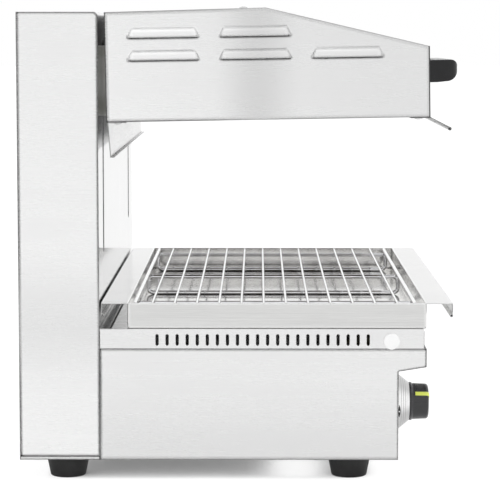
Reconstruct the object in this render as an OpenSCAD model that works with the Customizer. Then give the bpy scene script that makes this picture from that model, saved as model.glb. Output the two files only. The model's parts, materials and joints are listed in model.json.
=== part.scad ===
// Countertop cheese melter with a heating hood that slides up and down on a rear column.
// X is the width, the front faces -Y and Z points up. The origin is the middle of the
// footprint at table height. Side outlines are drawn as [depth from the back, height],
// and outlines of hood pieces as [depth from the hood's rear wall, height above its rim].

/* [Body] */
// Width over the side panels
body_w = 600; // [560:5:680]
// Thickness of the sheet metal
sheet = 1; // [0.8:0.1:1.2]
// Height of the base side panels, up to the seam below the deck
base_h = 125.4; // [118:0.2:150]
// Depth from the back of the column to the front of the nose
base_d = 454.4; // [450:0.2:480]
// How far the control panel stands behind the front of the nose
panel_setback = 31.1; // [26:0.1:38]
// Height of the front of the nose
nose_h = 20.5; // [14:0.5:28]
// Rise of the underside of the nose towards the front
nose_rise = 5; // [1:0.5:9]
// Width of the folded edges of the panels
flange_w = 14; // [10:0.5:16]
// Distance of the rear floor screws from the column
floor_screw_rear = 31.3; // [20:0.1:60]
// Distance of the front floor screws from the control panel
floor_screw_front = 91.3; // [75:0.1:120]
// Distance of the floor screws from the sides
floor_screw_inset = 8; // [6:0.5:9]
// Width of an air inlet in the floor pan
inlet_w = 4; // [2:0.5:6]
// Length of an air inlet
inlet_l = 40; // [20:1:60]
// Distance from one air inlet to the next
inlet_pitch = 9; // [8:0.5:9.5]
// Number of air inlets below each regulator
inlet_count = 11; // [3:2:11]
// Distance of the air inlets behind the front feet
inlet_back = 60; // [45:1:80]

/* [Deck] */
// Height of the slotted strip that carries the tray
deck_h = 22.4; // [20:0.2:28]
// How far the front of the deck stands behind the front of the nose
deck_setback = 2.7; // [1:0.1:6]
// Outer radius of the deck's folded edges
deck_bend_r = 2.2; // [1.6:0.1:3]
// Number of slots in each side strip
vent_count = 22; // [14:1:23]
// Distance from one slot to the next
vent_pitch = 11.2; // [8:0.1:11.4]
// Width of a slot
vent_w = 2.9; // [2:0.1:4]
// Length of a slot
vent_l = 12.8; // [8:0.2:15]
// Distance from the column to the first slot
vent_start = 64.3; // [40:0.1:66]
// Height of the slots' middle above the seam
vent_rise = 9.8; // [9:0.1:11]
// Diameter of the white hole plug
plug_dia = 18.3; // [12:0.1:19]
// Thickness of the hole plug's head
plug_h = 1.5; // [1:0.1:2.5]
// Distance from the deck's front to the plug's middle
plug_inset = 36.4; // [15:0.2:37]
// Height of the plug's middle above the seam
plug_rise = 8.4; // [7:0.1:10]
// Diameter of the plug's stem
plug_stem_dia = 10; // [6:0.5:11]
// Length of the plug's stem
plug_stem_l = 4; // [3:0.5:8]

/* [Feet] */
// Height of the rubber feet
foot_h = 27; // [22:1:40]
// Diameter of a foot where it meets the floor pan
foot_top_dia = 49.5; // [34:0.5:52]
// Diameter of a foot at the table
foot_dia = 40.5; // [30:0.5:46]
// Distance of the feet from the sides
foot_inset = 50; // [32:1:80]
// Distance of the rear feet from the back
foot_rear_d = 49.5; // [36:0.5:60]
// Distance of the front feet from the control panel
foot_front_inset = 52.8; // [40:0.2:80]
// Height of the upright rim at the top of a foot
foot_rim_h = 3; // [1:0.5:6]
// Radius of a foot's lower edge
foot_edge_r = 2; // [1:0.5:4]
// Diameter of the recess for the screw in a foot
foot_recess_dia = 16; // [15:0.5:20]
// Depth of that recess
foot_recess_h = 6; // [3:0.5:10]

/* [Controls] */
// Height of the knobs' axes above the floor pan
knob_rise = 50; // [42:1:56]
// Distance of the knobs' axes from the sides
knob_inset = 94; // [70:1:110]
// Radius of the bezel at the panel
bezel_r = 33; // [28:0.5:36]
// Radius of the bezel at the knob
bezel_top_r = 21.9; // [20:0.1:26]
// Height of the bezel's straight rim
bezel_rim_h = 4.5; // [2:0.5:7]
// Height of the whole bezel
bezel_h = 18.2; // [12:0.2:20]
// Thickness of the bezel
bezel_wall = 1.5; // [1:0.1:2.5]
// Radius of the knob
knob_r = 21; // [16:0.1:22]
// Height of the knob above the bezel
knob_h = 22.4; // [16:0.2:28]
// Width of the knob's pointer
pointer_w = 4.5; // [2:0.5:8]
// Angle of the pointer above the operator's left
pointer_angle = 34; // [0:1:90]
// How far the pointer starts from the knob's axis
pointer_start = 7; // [4:0.5:10]
// How far the pointer starts above the knob's seat
pointer_rise = 6; // [5:0.5:10]
// Depth of the pointer's groove
pointer_deep = 0.8; // [0.5:0.1:1.2]
// How far the pointer stands out of the knob
pointer_out = 0.5; // [0.2:0.1:0.8]
// How far the knob's skirt stands out
knob_skirt = 1.2; // [0.5:0.1:1.4]
// Height of the skirt
knob_skirt_h = 2; // [1:0.1:3]
// Radius of the knob's front edge
knob_edge_r = 3.5; // [2:0.1:5]
// Taper of the knob's side, and crown of its end
knob_draft = 0.6; // [0.2:0.1:1]
// Diameter of the knob's shaft
shaft_dia = 6; // [4:0.5:8]
// Distance from a knob's axis to its pilot lamp
lamp_gap = 58; // [50:1:90]
// Diameter of a pilot lamp's lens
lamp_dia = 12; // [8:0.5:16]
// Width of the rim by which a lamp's lens laps over its hole
lamp_rim = 1.5; // [1:0.1:2]
// Depth of a pilot lamp behind the panel
lamp_depth = 14; // [10:0.5:20]
// Play of the knob's shaft in the panel's hole
shaft_gap = 2; // [0.5:0.1:3]
// How far the shaft enters the regulator
shaft_deep = 16; // [10:0.5:24]
// How far the shaft enters the knob
shaft_in_knob = 12; // [8:0.5:15]
// Width of a regulator
regulator_w = 40; // [30:1:48]
// Depth of a regulator
regulator_depth = 30; // [26:1:45]
// Width of a regulator's mounting plate
regulator_plate_w = 52; // [50:1:60]
// Height of that plate
regulator_plate_h = 24; // [18:1:28]
// Thickness of that plate
regulator_plate_t = 3; // [1:0.5:5]
// Width of a regulator's terminal tabs
tab_w = 6.3; // [4:0.1:8]
// Thickness of the tabs
tab_t = 0.8; // [0.5:0.1:1.2]
// How far the tabs stand out
tab_l = 8.5; // [6:0.5:12]
// Distance between the tabs
tab_pitch = 12; // [10:0.5:14]

/* [Mains inlet] */
// Distance of the gland from the machine's middle
gland_x = 190; // [150:1:205]
// Distance of the gland from the back
gland_d = 62; // [58:1:64]
// Diameter of the gland's thread
gland_dia = 16; // [12:0.5:20]
// Diameter of the gland's cord bore
gland_bore_dia = 9; // [6:0.5:10]
// Height of the gland's lower hexagon
gland_hex_h = 6; // [4:0.5:8]
// Height of the gland's nut inside
gland_nut_h = 4; // [3:0.5:6]
// Height of the gland's dome
gland_dome_h = 12; // [8:0.5:16]
// How far the thread stands above the floor pan
gland_thread_h = 10; // [8:0.5:14]
// Distance of the terminal block from the back
terminal_d = 152; // [145:1:175]
// Width of the terminal block
terminal_w = 46; // [44:1:60]
// Depth of the terminal block's foot
terminal_foot_d = 24; // [20:1:30]
// Height of that foot
terminal_foot_h = 8; // [4:0.5:10]
// Depth of the terminal block
terminal_block_d = 14; // [12:0.5:18]
// Height of the terminal block
terminal_h = 20; // [16:0.5:28]
// Number of terminals
terminal_count = 5; // [3:1:5]
// Distance between terminals
terminal_pitch = 8; // [7:0.5:9]
// Diameter of a terminal's wire hole
terminal_hole_dia = 3.4; // [2:0.1:4]
// Height of the wire holes in the terminal block
terminal_hole_rise = 12; // [8:0.5:14]
// Depth of a terminal's screw hole
terminal_screw_deep = 6; // [3:0.5:8]
// Diameter of a terminal's screw hole
terminal_screw_dia = 3; // [2:0.1:4]

/* [Column] */
// Depth of the column
column_d = 89.7; // [86:0.1:100]
// Height of the column above the deck
column_rise = 351.2; // [346:0.2:380]
// Height of the column's lower edge above the floor pan's underside
column_lift = 3.9; // [3:0.1:6]
// Bevel of the column's upper front edge
column_bevel = 3; // [1:0.5:5]
// Depth of the column front panel's foot on the deck
column_foot = 11.3; // [8:0.1:14]
// Width of the seam between that foot and the deck
foot_seam = 2.2; // [0.5:0.1:4]
// Width of the two slots for the arms
lift_slot_w = 16; // [14:0.5:22]
// Distance of the slots' middle lines from the sides
lift_slot_inset = 74; // [60:1:84]
// Width of the arms
arm_w = 10; // [8:0.5:12]
// Height of the arms
arm_h = 80; // [70:1:84]
// Diameter of the guide rods
guide_dia = 12; // [10:0.5:14]
// Distance of the guide rods from the back
guide_d = 36; // [32:0.5:38]
// Diameter of a gas strut's cylinder
strut_dia = 18; // [14:0.5:20]
// Diameter of a gas strut's rod
strut_rod_dia = 8; // [6:0.5:9]
// Distance of the gas struts from the middle of the column
strut_x = 150; // [60:1:170]
// Distance of the rear cover's outer screws from the column's ends
rear_screw_inset = 30; // [15:1:60]
// Width of a slot in the rear cover
outlet_w = 4; // [2:0.5:8]
// Length of a slot in the rear cover
outlet_l = 36; // [20:1:44]
// Distance between the slots, side to side
outlet_pitch = 52; // [48:1:60]
// Distance between the slots, up and down
outlet_row = 12; // [10:0.5:16]
// Distance of the outer slots from the column's ends
outlet_drop = 60; // [30:1:80]
// Number of rows of slots at the top of the rear cover
outlet_rows = 8; // [5:1:10]
// Depth of the brackets that hold the guide rods
bracket_d = 44; // [36:1:48]
// Thickness of these brackets
bracket_t = 3; // [2:0.5:4]
// Height of the lower bracket
bracket_rise = 20; // [12:1:30]
// Distance of the upper bracket below the column's top
bracket_drop = 14; // [10:0.5:20]
// Height of the arms' lower edges above the hood's rim
arm_rise = 4.4; // [3:0.1:6]
// Distance from the arms' upper edges down to the struts' lugs
lug_drop = 12; // [8:0.5:20]
// Width of a strut's lug
lug_w = 28; // [20:1:32]
// Length of rod that stays in a strut's cylinder
rod_hold = 40; // [20:1:60]
// Room between a strut's cylinder and its lug, hood down
strut_end_gap = 12; // [6:0.5:20]
// Thickness of the carriage plate
carriage_t = 3; // [2:0.5:4]
// How far the carriage plate reaches out past the guide rods
carriage_lap = 20; // [16:1:26]
// Wall of a bush at its flanges
bush_wall = 7; // [5:0.5:7]
// Wall of a bush between its flanges
bush_body_wall = 5; // [3:0.5:5]
// Height of a bush's flanges
bush_flange_h = 8; // [5:0.5:12]
// Distance of a bush's ends from the carriage plate's edges
bush_inset = 5; // [2:0.5:10]

/* [Hood] */
// How far the hood's sides stand in from the body's sides
hood_side_gap = 1; // [0:0.5:20]
// Depth of the hood
hood_d = 357.8; // [345:0.2:375]
// Height of the hood's front wall
hood_front_h = 78; // [72:0.5:86]
// Height of the hood's rear wall
hood_rear_h = 121; // [118:0.5:122]
// Height of the fold between the roof and the slope
crest_h = 123.2; // [122.5:0.1:128]
// Distance of that fold from the rear wall
crest_d = 177.7; // [165:0.5:190]
// Upward tilt of the whole hood towards the front
hood_tilt = 0.96; // [0:0.02:1.2]
// Gap between the column and the hood's lower rear edge
hood_gap = 9.2; // [6:0.1:14]
// Height of the hood's lower rear edge above the deck, with the hood up
hood_rise = 229.8; // [222:0.2:236]
// Travel of the hood
lift_travel = 150; // [120:1:152]
// Width of the hood's bottom rims
rim_w = 22; // [18:0.5:26]
// Distance of the rim's screws from the front and rear walls
rim_screw_inset = 12.5; // [10:0.1:14]
// Distance of the roof's screws from the rear wall
roof_screw_u = 153.3; // [100:0.1:160]
// Height of the arms' lower bolts above the rim
arm_bolt_v = 20; // [16:0.5:24]
// Distance between an arm's two bolts
arm_bolt_gap = 45; // [36:0.5:48]
// Length of the arms' bolts
arm_bolt_l = 14; // [12:0.5:18]
// Length of the small screws
screw_l = 5; // [4:0.5:7]

/* [Louvres] */
// Length of a louvre at its open edge
louvre_l = 79.4; // [60:0.2:84]
// Length of a louvre at its upper edge
louvre_top_l = 68.4; // [50:0.2:70]
// Height of a louvre
louvre_h = 10.4; // [9:0.1:14]
// How far a louvre stands out
louvre_out = 4.5; // [3:0.1:6]
// Distance from the hood's rear wall to the first louvre's middle
louvre_start = 64.6; // [56:0.2:70]
// Distance between louvre columns
louvre_pitch = 101.4; // [90:0.2:104]
// Height of the lower row above the hood's rim
louvre_rise = 67.4; // [58:0.2:68]
// Distance between the two rows
louvre_row = 24.8; // [20:0.2:26]

/* [Heat] */
// Diameter of a heating element
element_dia = 8; // [6:0.5:9]
// Distance between the two legs of an element
element_leg = 44; // [36:1:50]
// Distance between elements
element_pitch = 80; // [72:1:82]
// Height of the elements above the hood's rim
element_v = 20; // [17:0.5:24]
// Height of the reflector's inside
reflector_h = 38; // [34:0.5:42]
// Distance of the reflector's mouth from the front and rear walls
reflector_wide = 34; // [28:1:40]
// Distance of the reflector's top from the front and rear walls
reflector_narrow = 60; // [50:1:64]
// Distance of the reflector's ends from the hood's sides
reflector_inset = 36; // [34:1:60]
// Distance of the reflector's rim from the front and rear walls
reflector_rim_gap = 10; // [6:0.5:14]
// How far that rim laps onto the side panels' folds
rim_lap = 3; // [2:0.5:4]
// Length of an element's tail outside the reflector
element_tail = 14; // [11:0.5:16]
// Length of an element's terminal pin
element_pin_l = 8; // [4:0.5:10]
// Diameter of that pin
element_pin_dia = 4; // [3:0.5:5]
// Distance of an element's bend from the reflector's end
element_end_gap = 36; // [30:1:60]
// Diameter of the elements' ceramic collars
collar_dia = 15; // [12:0.5:18]
// Length of these collars
collar_l = 8; // [5:0.5:10]
// Distance of the elements' hangers from the hood's middle
hanger_x = 120; // [60:5:170]
// Thickness of a hanger
hanger_t = 1.5; // [1:0.1:2]
// Length of the front deflector's sloping lip
lip_l = 25; // [18:0.5:30]
// Angle of that lip below the rim
lip_angle = 28; // [20:1:40]
// Radius of the rolled edges of the deflector and of the tray
roll_r = 1.9; // [1.6:0.1:2.4]
// How far a rolled edge bulges past its sheet
roll_bulge = 0.15; // [0.05:0.05:0.4]
// Play of the rear shield at the hood's rear wall
shield_gap = 1.2; // [0.5:0.1:3]
// Slope of the rear shield, bottom to top
shield_slope = 2.2; // [0:0.1:4]
// Width of the rear shield's lower fold
shield_fold = 4.6; // [3:0.1:8]
// Height of the rear shield
shield_h = 39; // [30:0.5:42]

/* [Handle] */
// Length of the handle
handle_l = 180; // [140:2:260]
// How far the handle stands out
handle_reach = 51.3; // [44:0.1:58]
// Thickness of the handle's grip, front to back
grip_d = 25; // [18:0.5:28]
// Height of the handle at the hood
handle_h = 27; // [22:0.2:32]
// Height of the handle's middle above the hood's rim
handle_v = 46.5; // [40:0.5:56]
// Distance of the handle's bolts from its ends
handle_bolt_inset = 12; // [10:0.5:14]
// Length of the handle's bolts
handle_bolt_l = 18; // [14:0.5:24]
// Width of the handle's legs at the hood
handle_leg = 24; // [22:0.5:30]
// Radius of the handle's nose, seen from the side
handle_nose_r = 9; // [5:0.5:9]
// Radius below the nose
handle_chin_r = 14; // [8:0.5:14]
// Radius of the handle's shoulders, seen from above
handle_shoulder_r = 14; // [8:0.5:18]
// How far the grip's shoulders stand in from the handle's ends
handle_draw = 2.1; // [0:0.1:4]
// Rise of the handle's underside towards the front
handle_rise = 1; // [0.5:0.1:3]
// Radius of the finger space's corners
handle_inner_r = 8; // [4:0.5:10]

/* [Tray and rack] */
// Gap between the tray's rear flange and the column
tray_gap = 2; // [1:0.1:6]
// How far the tray's side walls stand in from the body's sides
tray_side_gap = 1; // [0.5:0.5:20]
// Depth of the tray over its front and rear walls
tray_d = 333.3; // [320:0.1:340]
// Height of the tray
tray_h = 28.8; // [27.5:0.1:36]
// Width of the tray's flanges
tray_flange = 29.2; // [20:0.2:32]
// Height of the flanges' turned-down lips
tray_lip = 15.6; // [10:0.2:20]
// Outer radius of the tray's bends
tray_bend_r = 2.4; // [1.8:0.1:3]
// Diameter of the rack's side bars
bar_dia = 5; // [3:0.1:5]
// Diameter of the rack's cross wires
wire_dia = 2.8; // [1.8:0.1:3.2]
// Diameter of the rack's foot loops
loop_dia = 5; // [3:0.1:5]
// Height of a foot loop between its two rods
loop_h = 20; // [17:0.1:21]
// Bend radius of a foot loop
loop_r = 6; // [4:0.5:8]
// Distance of the outer foot loops from the tray's side walls
loop_inset = 42; // [20:1:100]
// Number of cross wires
wire_count = 12; // [8:1:12]
// Distance between cross wires
wire_pitch = 24.9; // [20:0.1:25.4]
// Depth of the rack between its side bars
rack_d = 313.3; // [300:0.1:318]
// Gap between the rack and the tray's rear wall
rack_gap = 4.2; // [2:0.1:6]
// Gap between the ends of the wires and the tray's side walls
rack_end_gap = 3; // [1:0.5:8]

/* [Hidden] */
$fn = 64;
cut = 0.5;                 // how far a cutting body runs past a face
free_gap = 0.4;            // gap between pieces that move past each other
running_gap = 0.05;        // radial clearance of a running fit
screw_dia = 4;             // small sheet-metal screw
screw_head_h = 1.9;
screw_hole_dia = screw_dia + 4 * running_gap;
crown_angle = 10;          // slope at which a round edge runs into a crowned face
bolt_dia = 6;              // bolts of the arms, handle and feet
bolt_hole_dia = bolt_dia + 4 * running_gap;
nut_h = 4;
nut_dia = 11.5;
shaft_end_gap = 0.2;       // play of a shaft's end in its regulator

half_w = body_w / 2;
half_hood = half_w - hood_side_gap;
half_tray = half_w - tray_side_gap;
pan_z = foot_h;                                   // underside of the floor pan
seam_z = pan_z + base_h;                          // seam between base and deck
deck_z = seam_z + deck_h;                         // top of the deck
deck_front = base_d - deck_setback;
foot_front = column_d + column_foot;              // front edge of the column's foot
panel_d = base_d - panel_setback;                 // front of the control panel
column_z = pan_z + column_lift;
column_top = deck_z + column_rise;
inner_back = 2 * sheet;                           // inside of the rear cover

hood_pivot_d = column_d + hood_gap;
hood_z = deck_z + hood_rise;
overall_d = hood_pivot_d + (hood_d + handle_reach) * cos(hood_tilt)
    - handle_v * sin(hood_tilt);
back_y = overall_d / 2;                           // Y of the back of the column
hood_outline = [[0, 0], [hood_d, 0], [hood_d, hood_front_h], [crest_d, crest_h],
    [0, hood_rear_h]];

lift_x = half_w - lift_slot_inset;
stop_gap = 2;                                     // play of an arm at a slot's ends
arm_z = hood_z + arm_rise;                        // lower edge of the arms, hood up
arm_top = arm_z + arm_h;
bush_dia = guide_dia + 2 * bush_wall;
carriage_back = guide_d + bush_dia / 2;           // rear face of the carriage plate
carriage_front = carriage_back + carriage_t;
shelf_top = pan_z + sheet + bracket_rise + bracket_t;
upper_shelf = column_top - sheet - bracket_drop;  // underside of the upper bracket
bracket_ds = around(guide_d, bracket_d);
lug_z = arm_top - lug_drop;                       // underside of the struts' lugs
strut_top = lug_z - lift_travel - strut_end_gap;
rod_end = strut_top - rod_hold;                   // lower end of a strut rod, hood up

tray_back = column_d + tray_gap + tray_flange;    // outside of the tray's rear wall
tray_front = tray_back + tray_d;
tray_top = deck_z + tray_h;
rack_z = deck_z + sheet;                          // tray floor, where the rack stands
rack_back = tray_back + sheet + rack_gap + bar_dia / 2;
loop_top = rack_z + loop_dia + loop_h;            // crown of the loops' upper rods
wire_z = loop_top + wire_dia / 2;
bar_z = loop_top - loop_dia / 2 - loop_r
    + sqrt(pow(loop_r + (loop_dia + bar_dia) / 2, 2) - pow(loop_r, 2));

knob_x = half_w - knob_inset;
knob_z = pan_z + knob_rise;

element_us = [for (i = [-1, 0, 1]) hood_d / 2 + i * element_pitch];
element_hole_dia = element_dia + 4 * running_gap;
reflector_x = half_hood - reflector_inset;        // outside of the reflector's ends
reflector_v = 2 * sheet;                          // the reflector rests on the side rims
reflector_top = reflector_v + reflector_h;
reflector_rim = half_hood - flange_w + rim_lap;
louvre_r = (pow(louvre_out, 2) + pow(louvre_h, 2)) / (2 * louvre_out);

// ---- shared shapes ---------------------------------------------------------------

// Both ends of a width around a middle
function around(middle, width) = [middle - width / 2, middle + width / 2];

function unit(v) = v / norm(v);
function left_of(v) = [-v.y, v.x];

// A closed counter-clockwise outline moved inward by t
function inset(p, t) = [for (i = [0:len(p) - 1])
    let (n = len(p),
         a = left_of(unit(p[i] - p[(i + n - 1) % n])),
         b = left_of(unit(p[(i + 1) % n] - p[i])))
    p[i] + t * (a + b) / (1 + a * b)];

// An open path moved to its left by t
function beside(p, t) = [for (i = [0:len(p) - 1])
    let (last = len(p) - 1,
         a = left_of(unit(p[max(i, 1)] - p[max(i, 1) - 1])),
         b = left_of(unit(p[min(i, last - 1) + 1] - p[min(i, last - 1)])))
    p[i] + t * (a + b) / (1 + a * b)];

// Outline of a bent sheet whose outer face follows the path, metal on the path's left
function bent(p, t) = let (q = beside(p, t))
    concat(p, [for (i = [len(q) - 1:-1:0]) q[i]]);

function arc(c, r, a0, a1, steps = 8) =
    [for (i = [0:steps]) let (a = a0 + (a1 - a0) * i / steps) c + r * [cos(a), sin(a)]];

// Draws from the back of the column: an outline's depth becomes -Y
module on_base() translate([0, back_y, 0]) children();

// Draws in the tilted hood, from its lower rear edge
module in_hood()
    translate([0, back_y - hood_pivot_d, hood_z]) rotate([-hood_tilt, 0, 0]) children();

// Extrudes a side outline from x0 to x1
module across(x0, x1)
    translate([x0, 0, 0]) mirror([0, 1, 0]) rotate([90, 0, 90])
        linear_extrude(x1 - x0) children();

// Extrudes a front outline from depth d0 back to front d1
module along(d0, d1)
    translate([0, -d0, 0]) rotate([90, 0, 0]) linear_extrude(d1 - d0) children();

// Puts a copy on the left or the right side
module side(s) { if (s < 0) children(); else mirror([1, 0, 0]) children(); }

module box(x, d, z) translate([x[0], -d[1], z[0]])
    cube([x[1] - x[0], d[1] - d[0], z[1] - z[0]]);

// Rectangle from (x0, y0) to (x1, y1) with round upper corners
module round_top(x0, x1, y0, y1, r) {
    translate([x0, y0]) square([x1 - x0, y1 - r - y0]);
    translate([x0 + r, y0]) square([x1 - x0 - 2 * r, y1 - y0]);
    for (x = [x0 + r, x1 - r]) translate([x, y1 - r]) circle(r);
}

module rounded(w, h, r) {
    square([w - 2 * r, h], center = true);
    square([w, h - 2 * r], center = true);
    for (x = [-1, 1], y = [-1, 1]) translate([x * (w / 2 - r), y * (h / 2 - r)]) circle(r);
}

// Upright slot with round ends
module slot_shape(w, l) {
    square([w, l - w], center = true);
    for (y = [-1, 1]) translate([0, y * (l - w) / 2]) circle(w / 2);
}

// End view of a sheet's rolled edge
module rolled_edge() difference() {
    circle(roll_r);
    circle(roll_r - sheet);
}

// Screw with its head's seat at z = 0 and its shank downwards
module pan_screw(length, dia = screw_dia) {
    rotate_extrude() polygon([[0, 0], [1.1 * dia, 0], [1.1 * dia, 0.2 * dia],
        [0.8 * dia, screw_head_h], [0, screw_head_h]]);
    translate([0, 0, -length]) cylinder(h = length + cut, d = dia);
}

// Cone of a flush screw's head, down to where its radius is r, and up past the face by over
module screw_cone(r, over = 0) rotate_extrude()
    polygon([[0, over], [screw_dia + over, over], [r, r - screw_dia], [0, r - screw_dia]]);

// Flush screw with its face at z = 0
module flush_screw(length) {
    screw_cone(screw_dia / 2);
    translate([0, 0, -length]) cylinder(h = length - cut, d = screw_dia);
}

// Hole for a flush screw
module flush_hole() {
    drill(screw_hole_dia);
    screw_cone(screw_hole_dia / 2, cut);
}

module nut() cylinder(h = nut_h, d = nut_dia, $fn = 6);

module drill(dia, depth = 10) cylinder(h = 2 * depth, d = dia, center = true);

// ---- base ------------------------------------------------------------------------

floor_screw_ds = [column_d + floor_screw_rear, panel_d - floor_screw_front];
floor_screw_x = half_w - floor_screw_inset;
foot_ds = [foot_rear_d, panel_d - foot_front_inset];
foot_x = half_w - foot_inset;

module place_floor_screws()
    for (s = [-1, 1], d = floor_screw_ds) translate([s * floor_screw_x, -d, pan_z]) children();

module base_side(s) color("silver") on_base() side(s) {
    back = column_d + free_gap;
    skin = [[back, pan_z], [panel_d, pan_z], [panel_d, seam_z - nose_h - nose_rise],
        [base_d, seam_z - nose_h], [base_d, seam_z], [back, seam_z]];
    edge = [[base_d - sheet - free_gap, seam_z], [back, seam_z], [back, pan_z + sheet],
        [panel_d - sheet - free_gap, pan_z + sheet]];
    difference() {
        union() {
            across(-half_w, -half_w + sheet) polygon(skin);
            across(-half_w + sheet / 2, -half_w + flange_w) polygon(bent(edge, sheet));
        }
        place_floor_screws() drill(screw_hole_dia);
    }
}

module front_panel() color("silver") on_base() {
    foot = panel_d - flange_w;
    path = [[foot, pan_z + sheet], [panel_d, pan_z + sheet],
        [panel_d, seam_z - nose_h - nose_rise], [base_d, seam_z - nose_h],
        [base_d, seam_z], [base_d - flange_w, seam_z]];
    inner = half_w - sheet;
    difference() {
        union() {
            across(-inner + flange_w, inner - flange_w) polygon(bent(path, sheet));
            across(-inner, inner) polygon(bent([for (i = [1:4]) path[i]], sheet));
        }
        for (s = [-1, 1]) translate([s * knob_x, -panel_d, knob_z]) rotate([90, 0, 0]) {
            drill(shaft_dia + 2 * shaft_gap);
            translate([-s * lamp_gap, 0, 0]) drill(lamp_dia - 2 * lamp_rim);
        }
    }
}

module floor_pan() color("gainsboro") on_base() difference() {
    union() {
        box([-half_w, half_w], [0, column_d], [pan_z, column_z]);
        box([-half_w + sheet, half_w - sheet], [sheet, panel_d], [pan_z, pan_z + sheet]);
    }
    box([-half_w + sheet, half_w - sheet], [sheet, column_d + cut],
        [pan_z + sheet, column_z + cut]);
    place_floor_screws() drill(screw_hole_dia);
    for (s = [-1, 1], d = foot_ds) translate([s * foot_x, -d, pan_z]) drill(bolt_hole_dia);
    translate([gland_x, -gland_d, pan_z]) drill(gland_dia);
    // air inlets below the regulators
    for (s = [-1, 1], i = [0:inlet_count - 1])
        translate([s * knob_x + (i - (inlet_count - 1) / 2) * inlet_pitch,
            inlet_back - foot_ds[1], pan_z])
            linear_extrude(4 * sheet, center = true) slot_shape(inlet_w, inlet_l);
}

module deck_pan() color("silver") on_base() {
    back = column_d + free_gap;
    r = deck_bend_r;
    difference() {
        intersection() {
            along(back, deck_front) round_top(-half_w, half_w, seam_z, deck_z, r);
            across(-half_w, half_w) round_top(back - r, deck_front, seam_z, deck_z, r);
            box([-half_w, half_w], [back, deck_front], [seam_z, deck_z]);
        }
        intersection() {
            along(back - cut, deck_front)
                round_top(-half_w + sheet, half_w - sheet, seam_z - cut, deck_z - sheet,
                    r - sheet);
            across(-half_w, half_w)
                round_top(back - 2 * r, deck_front - sheet, seam_z - cut, deck_z - sheet,
                    r - sheet);
        }
        // the column's foot fills the rear strip of the top
        box([-half_w + r, half_w - r], [back - cut, foot_front + foot_seam],
            [deck_z - 2 * sheet, deck_z + cut]);
        for (i = [0:vent_count - 1])
            across(-half_w - cut, half_w + cut)
                translate([column_d + vent_start + i * vent_pitch, seam_z + vent_rise])
                    slot_shape(vent_w, vent_l);
        place_plugs() drill(plug_stem_dia);
    }
}

module place_plugs() for (s = [-1, 1])
    translate([s * half_w, -deck_front + plug_inset, seam_z + plug_rise])
        rotate([0, s * 90, 0]) children();

module side_plugs() color("white") on_base() place_plugs() {
    r = plug_dia / 2;
    edge = plug_h / 2;
    rotate_extrude() polygon(concat([[0, 0], [r, 0]], arc([r - edge, edge], edge, 0, 90, 4),
        [[0, plug_h]]));
    translate([0, 0, -plug_stem_l])
        cylinder(h = plug_stem_l + edge, d = plug_stem_dia - 2 * running_gap);
}

module foot(s, d) color("black") on_base() translate([s * foot_x, -d, 0]) {
    bore = bolt_hole_dia / 2;
    recess = foot_recess_dia / 2;
    edge = foot_edge_r;
    rotate_extrude() polygon(concat(
        [[bore, foot_recess_h], [recess, foot_recess_h], [recess, 0]],
        arc([foot_dia / 2 - edge, edge], edge, -90, -7, 5),
        [[foot_top_dia / 2, foot_h - foot_rim_h], [foot_top_dia / 2, foot_h],
        [bore, foot_h]]));
}

module foot_screws() color("gray") on_base()
    for (s = [-1, 1], d = foot_ds) translate([s * foot_x, -d, foot_recess_h]) {
        grip = pan_z + sheet - foot_recess_h;
        rotate([180, 0, 0]) pan_screw(grip + 1.2 * nut_h, bolt_dia);
        translate([0, 0, grip]) nut();
    }

// ---- controls --------------------------------------------------------------------

// Draws on the control panel: Z runs forward from the panel's face
module on_panel(s) on_base() translate([s * knob_x, -panel_d, knob_z])
    rotate([90, 0, 0]) children();

module regulator(s) color("ivory") on_panel(s) translate([0, 0, -sheet]) difference() {
    union() {
        corner = regulator_plate_t;
        translate([0, 0, -regulator_plate_t]) linear_extrude(regulator_plate_t)
            rounded(regulator_plate_w, regulator_plate_h, corner);
        translate([0, 0, -regulator_depth])
            linear_extrude(regulator_depth) rounded(regulator_w, regulator_w, corner);
        for (i = [-1, 0, 1], q = [-1, 1])
            translate([i * tab_pitch, q * regulator_w / 5, -regulator_depth - tab_l / 2 + cut])
                cube([tab_w, tab_t, tab_l + 2 * cut], center = true);
    }
    translate([0, 0, -shaft_deep]) cylinder(h = shaft_deep + cut,
        d = shaft_dia + 2 * running_gap);
}

knob_seat = bezel_h + free_gap;     // underside of the knob, from the panel

module knob_shaft(s) color("lightgray") on_panel(s)
    translate([0, 0, shaft_end_gap - sheet - shaft_deep])
        cylinder(h = sheet + shaft_deep + knob_seat + shaft_in_knob - shaft_end_gap,
            d = shaft_dia);

module knob_bezel(s) color("lightgray") on_panel(s) {
    wall = bezel_wall;
    rotate_extrude() polygon([[bezel_r - wall, 0], [bezel_r, 0], [bezel_r, bezel_rim_h],
        [bezel_top_r, bezel_h], [shaft_dia, bezel_h], [shaft_dia, bezel_h - wall],
        [bezel_top_r - wall, bezel_h - wall], [bezel_r - wall, bezel_rim_h]]);
}

// The knob's outline, from its axis outwards: a skirt, a slightly tapered side, a round
// edge and a slightly crowned end
function knob_outline(grow = 0) = let (top = knob_seat + knob_h + grow)
    concat([[0, knob_seat]], [[knob_r + knob_skirt, knob_seat],
        [knob_r + knob_skirt, knob_seat + knob_skirt_h],
        [knob_r + grow, knob_seat + knob_skirt_h + knob_skirt]],
        arc([knob_r + grow - knob_draft - knob_edge_r, top - knob_edge_r - knob_draft],
            knob_edge_r, 0, 90 - crown_angle, 6),
        [[0, top]]);

module pointer_zone() rotate([0, 0, 180 - pointer_angle])
    translate([pointer_start, -pointer_w / 2, knob_seat + pointer_rise])
        cube([knob_r, pointer_w, knob_h]);

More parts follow.
